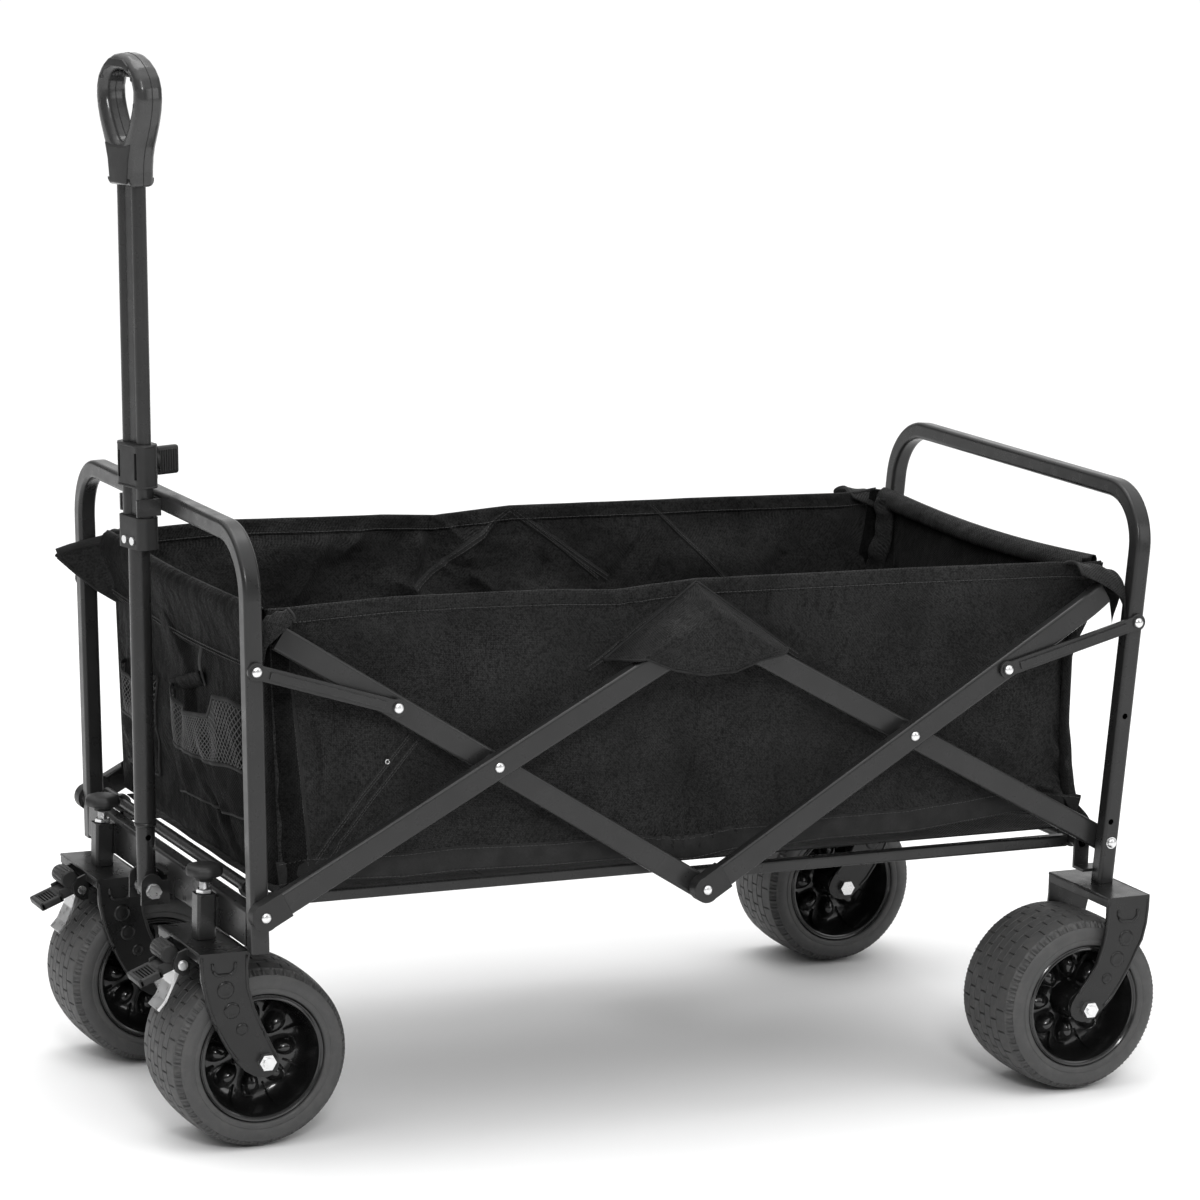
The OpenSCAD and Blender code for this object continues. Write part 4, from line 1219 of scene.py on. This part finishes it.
def strip_on_side(line, side, width, lift, face=1):
    """Part: a raised seam that follows a line of (x, z) points on the side cloth."""
    path = resample(line, 5.0)
    ahead = np.gradient(path, axis=0)
    ahead /= np.linalg.norm(ahead, axis=1, keepdims=True)
    across = np.stack([-ahead[:, 1], ahead[:, 0]], 1)
    half = ((0.5, -0.5), (0.42, 0.75), (0.16, 1.0))
    rows = []
    for offset, rise in [(-o, r) for o, r in half] + list(half[::-1]):
        p = path + across * offset * width
        rows.append(side_point(p[:, 0], p[:, 1], side, face * (0.6 + rise * lift)))
    return np.array(rows).reshape(-1, 3), grid_faces(len(rows), len(path)).tolist()


def side_lines(side):
    """Seams on the side cloth: (x, z) lines with their widths."""
    lines = [
        ([(425, 520), (425, 470), (419, 430), (415, 400), (408, 337), (402, 284)], 9),
        ([(302, 399), (350, 341), (396, 284)], 6),
        ([(293, 394), (341, 336), (384, 282)], 5),
        ([(5, 531), (60, 491), (102, 461), (116, 452)], 7),
        ([(5, 531), (-52, 492), (-98, 460), (-112, 451)], 7),
    ]
    if side < 0:
        lines += [([(-247, 446), (-205, 487), (-158, 531)], 4), ([(-14, 519), (-60, 484), (-100, 452)], 4)]
    return lines


def hem_line():
    x = np.linspace(-440, 432, 150)
    return np.stack([x, table(x, SIDE_HEM) + 12.0], 1)


def side_wall_points(side):
    v, u = unit_grid(112, 340)
    flat_x = -452 + 896 * u
    hem = table(flat_x, SIDE_HEM)
    z = hem + (table(flat_x, SIDE_RIM) - hem) * v
    x = rear_edge(z) + (front_edge(z) - 5 - rear_edge(z)) * u
    return side_point(x, z, side)


def side_rim_points(side):
    """A folded hem over the rim: down from the outer face, over the top and down the inner face."""
    x = np.linspace(-444, 446, 300)
    top = table(x, SIDE_RIM)
    section = (
        (15, 0.5), (12, 0.9), (6, 1.2), (2, 1.6), (-0.8, 1.3), (-1.9, 0.4), (-1.9, -0.6), (-0.8, -1.5),
        (2, -1.7), (6, -1.3), (12, -1.0), (15, -0.5),
    )
    rows = [side_point(x, top - drop, side, lift + 0.25 * np.sin(x / 9.0 + drop)) for drop, lift in section]
    return np.array(rows)


def squash_with_fold(obj):
    """Gives the piece its own copy of its mesh."""
    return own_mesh(obj)


def make_side(side_name, side):
    wall = cloth_piece("side_cloth_" + side_name, side_wall_points(side), CLOTH, WALL_THICK)
    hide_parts("basket_side_" + side_name)
    rim = cloth_piece("side_rim_" + side_name, side_rim_points(side), CLOTH, 0.5)
    seams, threads = [], []
    for line, width in side_lines(side):
        seams.append(strip_on_side(line, side, width, 0.9))
        seams.append(strip_on_side(line, side, width + 2, 0.8, face=-1))
        for offset in (-width * 0.3, width * 0.3):
            for face in (1, -1):
                threads += side_stitches(np.asarray(line, float) + (0, offset), side, 1.35, face)
    seams.append(strip_on_side(hem_line(), side, 24, 0.7))
    for shift in (9.0, -10.5):
        threads += side_stitches(hem_line() + (0, shift), side, 1.15)
    x = np.linspace(-440, 440, 120)
    for face in (1, -1):
        threads += side_stitches(np.stack([x, table(x, SIDE_RIM) - 12.5], 1), side, 1.75, face)
    seam = joined("side_seams_" + side_name, seams, BINDING)
    thread = joined("side_stitches_" + side_name, threads, THREAD)
    t = np.linspace(0, 2 * math.pi, 24, endpoint=False)
    ring = side_point(323 + 2.0 * np.cos(t), 376 + 2.0 * np.sin(t), side, 1.4)
    eyelet = joined("side_eyelet_" + side_name, [tube(ring, 0.6, 8, closed=True)], ZINC)
    for obj in (wall, rim, seam, thread, eyelet):
        squash_with_fold(obj)


def make_floor():
    """Four board panels in a quilted cloth, with the stitched seams where the floor folds."""
    v, u = unit_grid(120, 220)
    x, y = -431 + 860 * u, -216 + 432 * v
    seam_at = np.array([-215.0, 0.0, 215.0])
    nearest = np.min(np.abs(x[..., None] - seam_at), axis=2)
    puff = 1 - np.exp(-((nearest / 9.0) ** 2))
    edge = smooth((216 - np.abs(y)) / 26)
    z = 250.6 + 2.6 * puff * edge + ripples(x, y, 21, 90, 0.5) * edge + 3.4 * (1 - edge)
    cloth = cloth_piece("floor_cloth", np.stack([x, y, z], 2), LINING, 1.2)
    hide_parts("basket_floor")
    threads = []
    for x0 in seam_at:
        for offset in (-3.0, 3.0):
            line = [(x0 + offset, -206.0), (x0 + offset, 206.0)]
            threads += stitches(line, lambda q, h: np.array([q[0], q[1], 251.9 + h]))
    thread = joined("floor_stitches", threads, THREAD)
    for obj in (cloth, thread):
        squash_with_fold(obj)


# ---------------------------------------------------------------------------------------------
# Basket: the end walls with their bands and pockets


def end_path(z, facing, edge, seam_x, radius):
    """Plan of an end wall at height z: from the seam on the left side, round both corners, to the right."""
    x_face, half, count = edge(z), 222.4, 170
    corner_x = x_face - facing * radius
    left = [(seam_x, half)]
    for a in np.linspace(0, math.pi / 2, 9):
        left.append((corner_x + facing * radius * math.sin(a), half - radius * (1 - math.cos(a))))
    right = [(x, -y) for x, y in left[::-1]]
    across = [(x_face, y) for y in np.linspace(half - radius, -(half - radius), count)[1:-1]]
    return np.array(left + across + right)


def end_wall(edge, seam_at, out, rim, low, facing, radius):
    made = []
    for v in np.linspace(0, 1, 90):
        level = low + (528 - low) * v
        plan = end_path(level, facing, edge, seam_at(level), radius)
        y = plan[:, 1]
        z = low + (rim(y) - low) * v
        made.append(np.stack([plan[:, 0] + out(y, z) * facing, y, z], 1))
    return np.array(made)


def front_surface(y, z, lift=0.0):
    y, z = np.asarray(y, float), np.asarray(z, float)
    return np.stack([front_edge(z) + front_out(y, z) + lift, y, z], -1)


def make_front():
    points = end_wall(front_edge, front_seam_x, front_out, front_rim_height, 264, 1, 17)
    wall = cloth_piece("front_cloth", points, SHADED, WALL_THICK)
    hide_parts("basket_front")

    # folded band along the front rim, padded at the top, as (drop below the rim, reach forward)
    y = np.linspace(-219, 219, 170)
    rim = front_rim_height(y)
    sag = 2.2 * np.cos(y / 219 * math.pi / 2)
    section = (
        (64, 1.2), (62, 2.4), (56, 1.6), (46, 3.0), (34, 6.0), (24, 9.2), (15, 10.8), (7, 10.0), (1, 6.6),
        (-1.6, 2.6), (-1.0, -1.2), (3, -2.6), (10, -2.4), (18, -1.6),
    )
    ends = smooth((222 - np.abs(y)) / 12 + 0.35)
    rows = []
    for drop, reach in section:
        z = rim - drop - sag * (drop > 30)
        uneven = ripples(y, z, 41, 60, 0.7) * min(1.0, max(0.0, reach / 4))
        rows.append(np.stack([front_edge(z) + (reach + uneven) * ends, y, z], 1))
    band = cloth_piece("front_band", np.array(rows), SHADED, TRIM_THICK)
    threads = []
    for drop, reach in ((60.0, 3.2), (56.5, 3.9)):
        line = np.stack([y, rim - drop - sag], 1)
        threads += stitches(line, lambda q, h: np.array([front_edge(q[1]) + reach + h, q[0], q[1]]))
    thread = joined("front_stitches", threads, THREAD)
    pieces = [band, thread] + make_front_pockets() + [make_far_flap()]


def pocket_points(ends, low, top, bulge, low_bulge, rows):
    """A pocket's front between two heights over y; it hangs open, by bulge at the most."""
    v, u = unit_grid(rows, 60)
    y = ends[0] + (ends[1] - ends[0]) * u
    z = table(y, low) + (table(y, top) - table(y, low)) * v
    reach = bulge * np.sin(math.pi * u) ** 0.55 * (low_bulge + (1 - low_bulge) * v ** 0.8)
    reach = reach + ripples(y, z, 51, 34, 1.5) * np.sin(math.pi * u) ** 0.5
    surface = front_surface(y, z, 1.6)
    surface[..., 0] += np.maximum(reach, 0)
    return surface


def net_parts(points):
    """Parts: cords of a knotted net over a grid of points, two slanting families that cross."""
    hole = 6.0
    along = lengths(points, 1).mean(axis=0)
    up = lengths(points, 0).mean(axis=1)
    width, height = along[-1], up[-1]

    def at(s, t):
        c, r = np.interp(s, along, np.arange(len(along))), np.interp(t, up, np.arange(len(up)))
        c0, r0 = np.minimum(c.astype(int), len(along) - 2), np.minimum(r.astype(int), len(up) - 2)
        fc, fr = (c - c0)[:, None], (r - r0)[:, None]
        near = points[r0, c0] * (1 - fc) + points[r0, c0 + 1] * fc
        above = points[r0 + 1, c0] * (1 - fc) + points[r0 + 1, c0 + 1] * fc
        return near * (1 - fr) + above * fr

    parts = []
    t = np.arange(0, height, hole * 0.5)
    for lean in (-1, 1):
        for k in range(int((width + height) / hole)):
            s = k * hole - (height if lean > 0 else 0) + lean * t
            keep = (s >= 0) & (s <= width)
            if keep.sum() > 2:
                parts.append(tube(at(s[keep], t[keep]), 0.5, 5))
    return parts


POCKETS = {
    "near": dict(
        ends=(-30, 168), bulge=17.0,
        rim=((-30, 409), (-8, 404), (26, 393), (105, 405), (121, 427), (151, 429), (168, 424)),
        seam=((-30, 356), (2, 353), (90, 357), (138, 363), (168, 362)),
        low=((-30, 300), (0, 306), (100, 310), (168, 316)),
    ),
    "far": dict(
        ends=(-182, -84), bulge=13.0,
        rim=((-182, 402), (-160, 398), (-110, 392), (-84, 404)),
        seam=((-182, 352), (-84, 356)),
        low=((-182, 300), (-84, 304)),
    ),
}


def make_pocket(tag, ends, bulge, rim, seam, low):
    """A hanging pocket: cloth below, net above, with bound edges. Returns the net and the bindings."""
    lower = pocket_points(ends, low, seam, bulge * 0.85, 0.15, 34)
    upper = pocket_points(ends, seam, rim, bulge, 0.85, 22)
    cloth = cloth_piece("pocket_cloth_" + tag, lower, SHADED, TRIM_THICK)
    net = joined("pocket_net_" + tag, net_parts(upper), NET)
    edges = [
        tube(resample(upper[-1], 3), 2.2, 8, 0.5),
        tube(resample(upper[0], 3) + (0.6, 0, 0), 1.9, 8, 0.5),
    ]
    for line in (lower[:, 0], lower[:, -1], upper[:, 0], upper[:, -1], lower[0]):
        edges.append(tube(resample(line, 4), 1.6, 8))
    binding = joined("pocket_binding_" + tag, edges, BINDING)
    return [net, binding]


def make_front_pockets():
    """Two hanging pockets, the turned flap of the near one's back and the strap that holds it."""
    made = []
    for tag, pocket in POCKETS.items():
        made += make_pocket(tag, **pocket)
    rows = []
    for reach, rise in ((2.0, -13), (5.5, -9), (8.5, 0), (7.0, 1.2), (3.0, 0), (1.4, -4)):
        top = ((-33, 412), (0, 421), (30, 430), (56, 437))
        rows.append(resample([(front_edge(z + rise) + reach, y, z + rise) for y, z in top], 4))
    flap = cloth_piece("pocket_flap", np.array(rows), SHADED, TRIM_THICK)
    rows = []
    for y, z in resample([(53, 462), (55, 450), (57, 440), (57, 424)], 3):
        x = front_edge(z) + 2.4 + 4.0 * math.sin((462 - z) / 38 * math.pi)
        rows.append([(x, across, z) for across in np.linspace(y - 4, y + 4, 4)])
    strap = cloth_piece("pocket_strap", np.array(rows), BINDING, 1.2)
    return made + [flap, strap]


def make_far_flap():
    """The loose end of the front band on the right, which juts forward past the hoop's leg."""

    def rounded(corners):
        """Forty points of a line whose corners are cut by a first, coarse resampling."""
        line = resample(resample(corners, 3), 1)
        return line[np.linspace(0, len(line) - 1, 40).astype(int)]

    hem = rounded([(446, -196, 524), (455, -214, 521), (470, -226, 515), (486, -232, 510), (499, -236, 505)])
    low = rounded([(437, -190, 456), (446, -206, 459), (462, -219, 469), (482, -229, 486), (498, -236, 501)])
    rows = []
    for v in np.linspace(0, 1, 16):
        row = low + (hem - low) * v
        row[:, 0] += 2.4 * math.sin(math.pi * v) + 0.8 * np.sin(row[:, 1] / 5.0)
        rows.append(row)
    flap = cloth_piece("front_flap", np.array(rows), CLOTH, 1.0)
    roll = joined("front_flap_hem", [tube(hem + (0, 0, 1.0), 4.2, 12, 0.7), tube(low, 1.5, 8)], BINDING)
    roll.parent = flap
    roll.matrix_parent_inverse = flap.matrix_world.inverted()
    return flap


def rear_pillar(side_name, side):
    """The gathered lining that stands in a rear corner."""
    v, u = unit_grid(70, 26)
    z = 266 + (527 - 266) * v
    pinch = 1 + 0.16 * np.sin(v * 33 + 2 * u) + 0.10 * np.sin(v * 71 + 5 * u)
    x = rear_edge(z) + 2.0 + 13.0 * np.sin(math.pi * u) * pinch
    y = side * (216 - 30 * u + 2.5 * np.sin(v * 21))
    points = np.stack([x, y, z], 2)
    return cloth_piece("rear_corner_" + side_name, points, LINING, TRIM_THICK, "rear_frame")


def make_rear():
    points = end_wall(rear_edge, rear_seam_x, rear_out, rear_rim_height, 262, -1, 12)
    wall = cloth_piece("rear_cloth", points, SHADED, WALL_THICK, "rear_frame")
    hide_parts("basket_rear")

    # rolled hem: a flat band outside and a fat fold inside, as (drop below the rim, reach backward)
    y = np.linspace(-219, 219, 170)
    rim = rear_rim_height(y)
    section = (
        (40, 1.6), (37, 2.6), (24, 3.4), (10, 4.0), (2, 3.4), (-1.8, 1.0), (-2.0, -3.0), (1.0, -7.6),
        (6.0, -9.8), (12, -9.4), (16, -6.6), (17, -3.0), (15, -1.2),
    )
    ends = smooth((223 - np.abs(y)) / 10 + 0.3)
    rows = []
    for drop, reach in section:
        z = rim - drop
        lift = reach * (1 + 0.1 * ripples(y, z, 71, 50, 1.0))
        rows.append(np.stack([rear_edge(z) - lift * ends, y, z], 1))
    band = cloth_piece("rear_band", np.array(rows), CLOTH, TRIM_THICK, "rear_frame")
    line = np.stack([y, rim - 35.5], 1)
    threads = stitches(line, lambda q, h: np.array([rear_edge(q[1]) - 3.4 - h, q[0], q[1]]))
    thread = joined("rear_stitches", threads, THREAD, "rear_frame")
    pieces = [band, thread] + [rear_pillar(*side) for side in SIDES]


# ---------------------------------------------------------------------------------------------
# Basket: hoods over the arms' tips and gussets over their top joints


HOODS = {
    "rear": dict(
        centre=241.0, half_y=21.5, x_open=-408, x_end=-466, z_open=533, z_end=514, z_tip=492, facing=-1,
        flat=(0.085, 0.058),
    ),
    "front": dict(
        centre=230.5, half_y=11.5, x_open=428, x_end=455, z_open=529, z_end=520, z_tip=508, facing=1,
        flat=(0.06, 0.034),
    ),
}


def hood_points(centre, half_y, x_open, x_end, z_open, z_end, z_tip, facing):
    """A pocket over an arm's tip: open towards the middle and below, closed at the end."""
    v, u = unit_grid(26, 30)
    a = math.pi * u
    close = smooth((v - 0.45) / 0.55)
    x = x_open + (x_end - x_open) * (1 - (1 - v) ** 1.5)
    roof = z_open + (z_end - z_open) * v ** 1.6
    skirt = 9 + 20 * v ** 0.8
    z = roof - skirt * (1 - np.sin(a)) ** 0.8 - (roof - z_tip) * smooth((v - 0.8) / 0.2) * 0.9
    y = centre + half_y * (1 - 0.45 * close) * np.cos(a)
    z = z + 0.9 * np.sin(v * 17 + u * 4) * np.sin(a)
    x = x - facing * 1.2 * np.sin(u * 11 + v * 3)
    return np.stack([x, y, z], 2)


def make_hoods():
    for side_name, side in SIDES:
        for end, hood in HOODS.items():
            name, body = f"{end}_hood_", end + "_frame"
            shape = {key: value for key, value in hood.items() if key != "flat"}
            points = hood_points(**shape) * (1, side, 1)
            cloth = cloth_piece(name + side_name, points, CLOTH, 1.0, body)
            edge = joined(name + "edge_" + side_name, [tube(resample(points[0], 2), 1.6, 8)], BINDING, body)


def gusset_points(side):
    """A tent between the apex on the rim and a scalloped lower edge, pushed out over the joint."""
    apex_x, apex_z, apex_width = 5.0, 531.0, 4.0
    left, right = 102.0, -98.0
    hem = ((-98, 460), (-84, 466), (-51, 460), (-21, 450), (12, 449), (44, 455), (75, 468), (102, 461))
    v, u = unit_grid(64, 90)
    foot_x = left + (right - left) * u
    foot_z = table(foot_x, hem)
    x = foot_x + (apex_x + apex_width * (0.5 - u) - foot_x) * v
    z = foot_z + (apex_z - foot_z) * v
    room = np.minimum(u, 1 - u) * ((left - right) * (1 - v) + apex_width * v) * 0.58
    rise = smooth(room / 15.0) ** 0.8
    crown = 41.5 + 4.5 * np.sin(math.pi * np.clip(v * 1.3, 0, 1)) - 2.0 * np.abs(2 * u - 1)
    rucks = (
        ((40, 478, -2, 516), 7, 3.0), ((-10, 512, -30, 470), 7, 3.4), ((30, 492, -6, 496), 6, 2.6),
        ((-22, 475, -18, 452), 5, 2.4), ((-55, 472, -80, 464), 6, -2.6),
    )
    creases = (((60, 470, 20, 500), 12, 2.0), ((-12, 528, -44, 492), 9, -7.0))
    folds = wrinkles(ruck, x, z, rucks) + wrinkles(crease, x, z, creases)
    y = 222.6 + rise * (crown + folds + ripples(x, z, 81, 34, 0.8))
    return np.stack([x, side * y, z], 2)


def make_gussets():
    """Tent-like cloth pockets that hide the arms' top joints, open at their lower edge."""
    for side_name, side in SIDES:
        points = gusset_points(side)
        cloth = cloth_piece("gusset_" + side_name, points, CLOTH, 1.0, None)
        sides = (points[:, 0], points[:, -1])
        pipes = [tube(resample(line, 3) + (0, side * 0.8, 0), 1.7, 8) for line in sides]
        pipes.append(tube(resample(points[0], 3), 1.3, 8))
        pipes.append(tube(resample(points[4], 3) + (0, side * 0.5, 0), 0.7, 6))
        edge = joined("gusset_piping_" + side_name, pipes, BINDING, None)
        for obj in (cloth, edge):
            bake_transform(obj)


dress_cad()
make_wheels()
make_fork_pressings()
make_caster_knobs()
make_pedals()
make_rivets()
make_grip()
make_clamp_knob()
make_handle_trim()
for side_name, side in SIDES:
    make_side(side_name, side)
make_floor()
make_front()
make_rear()
make_hoods()
make_gussets()
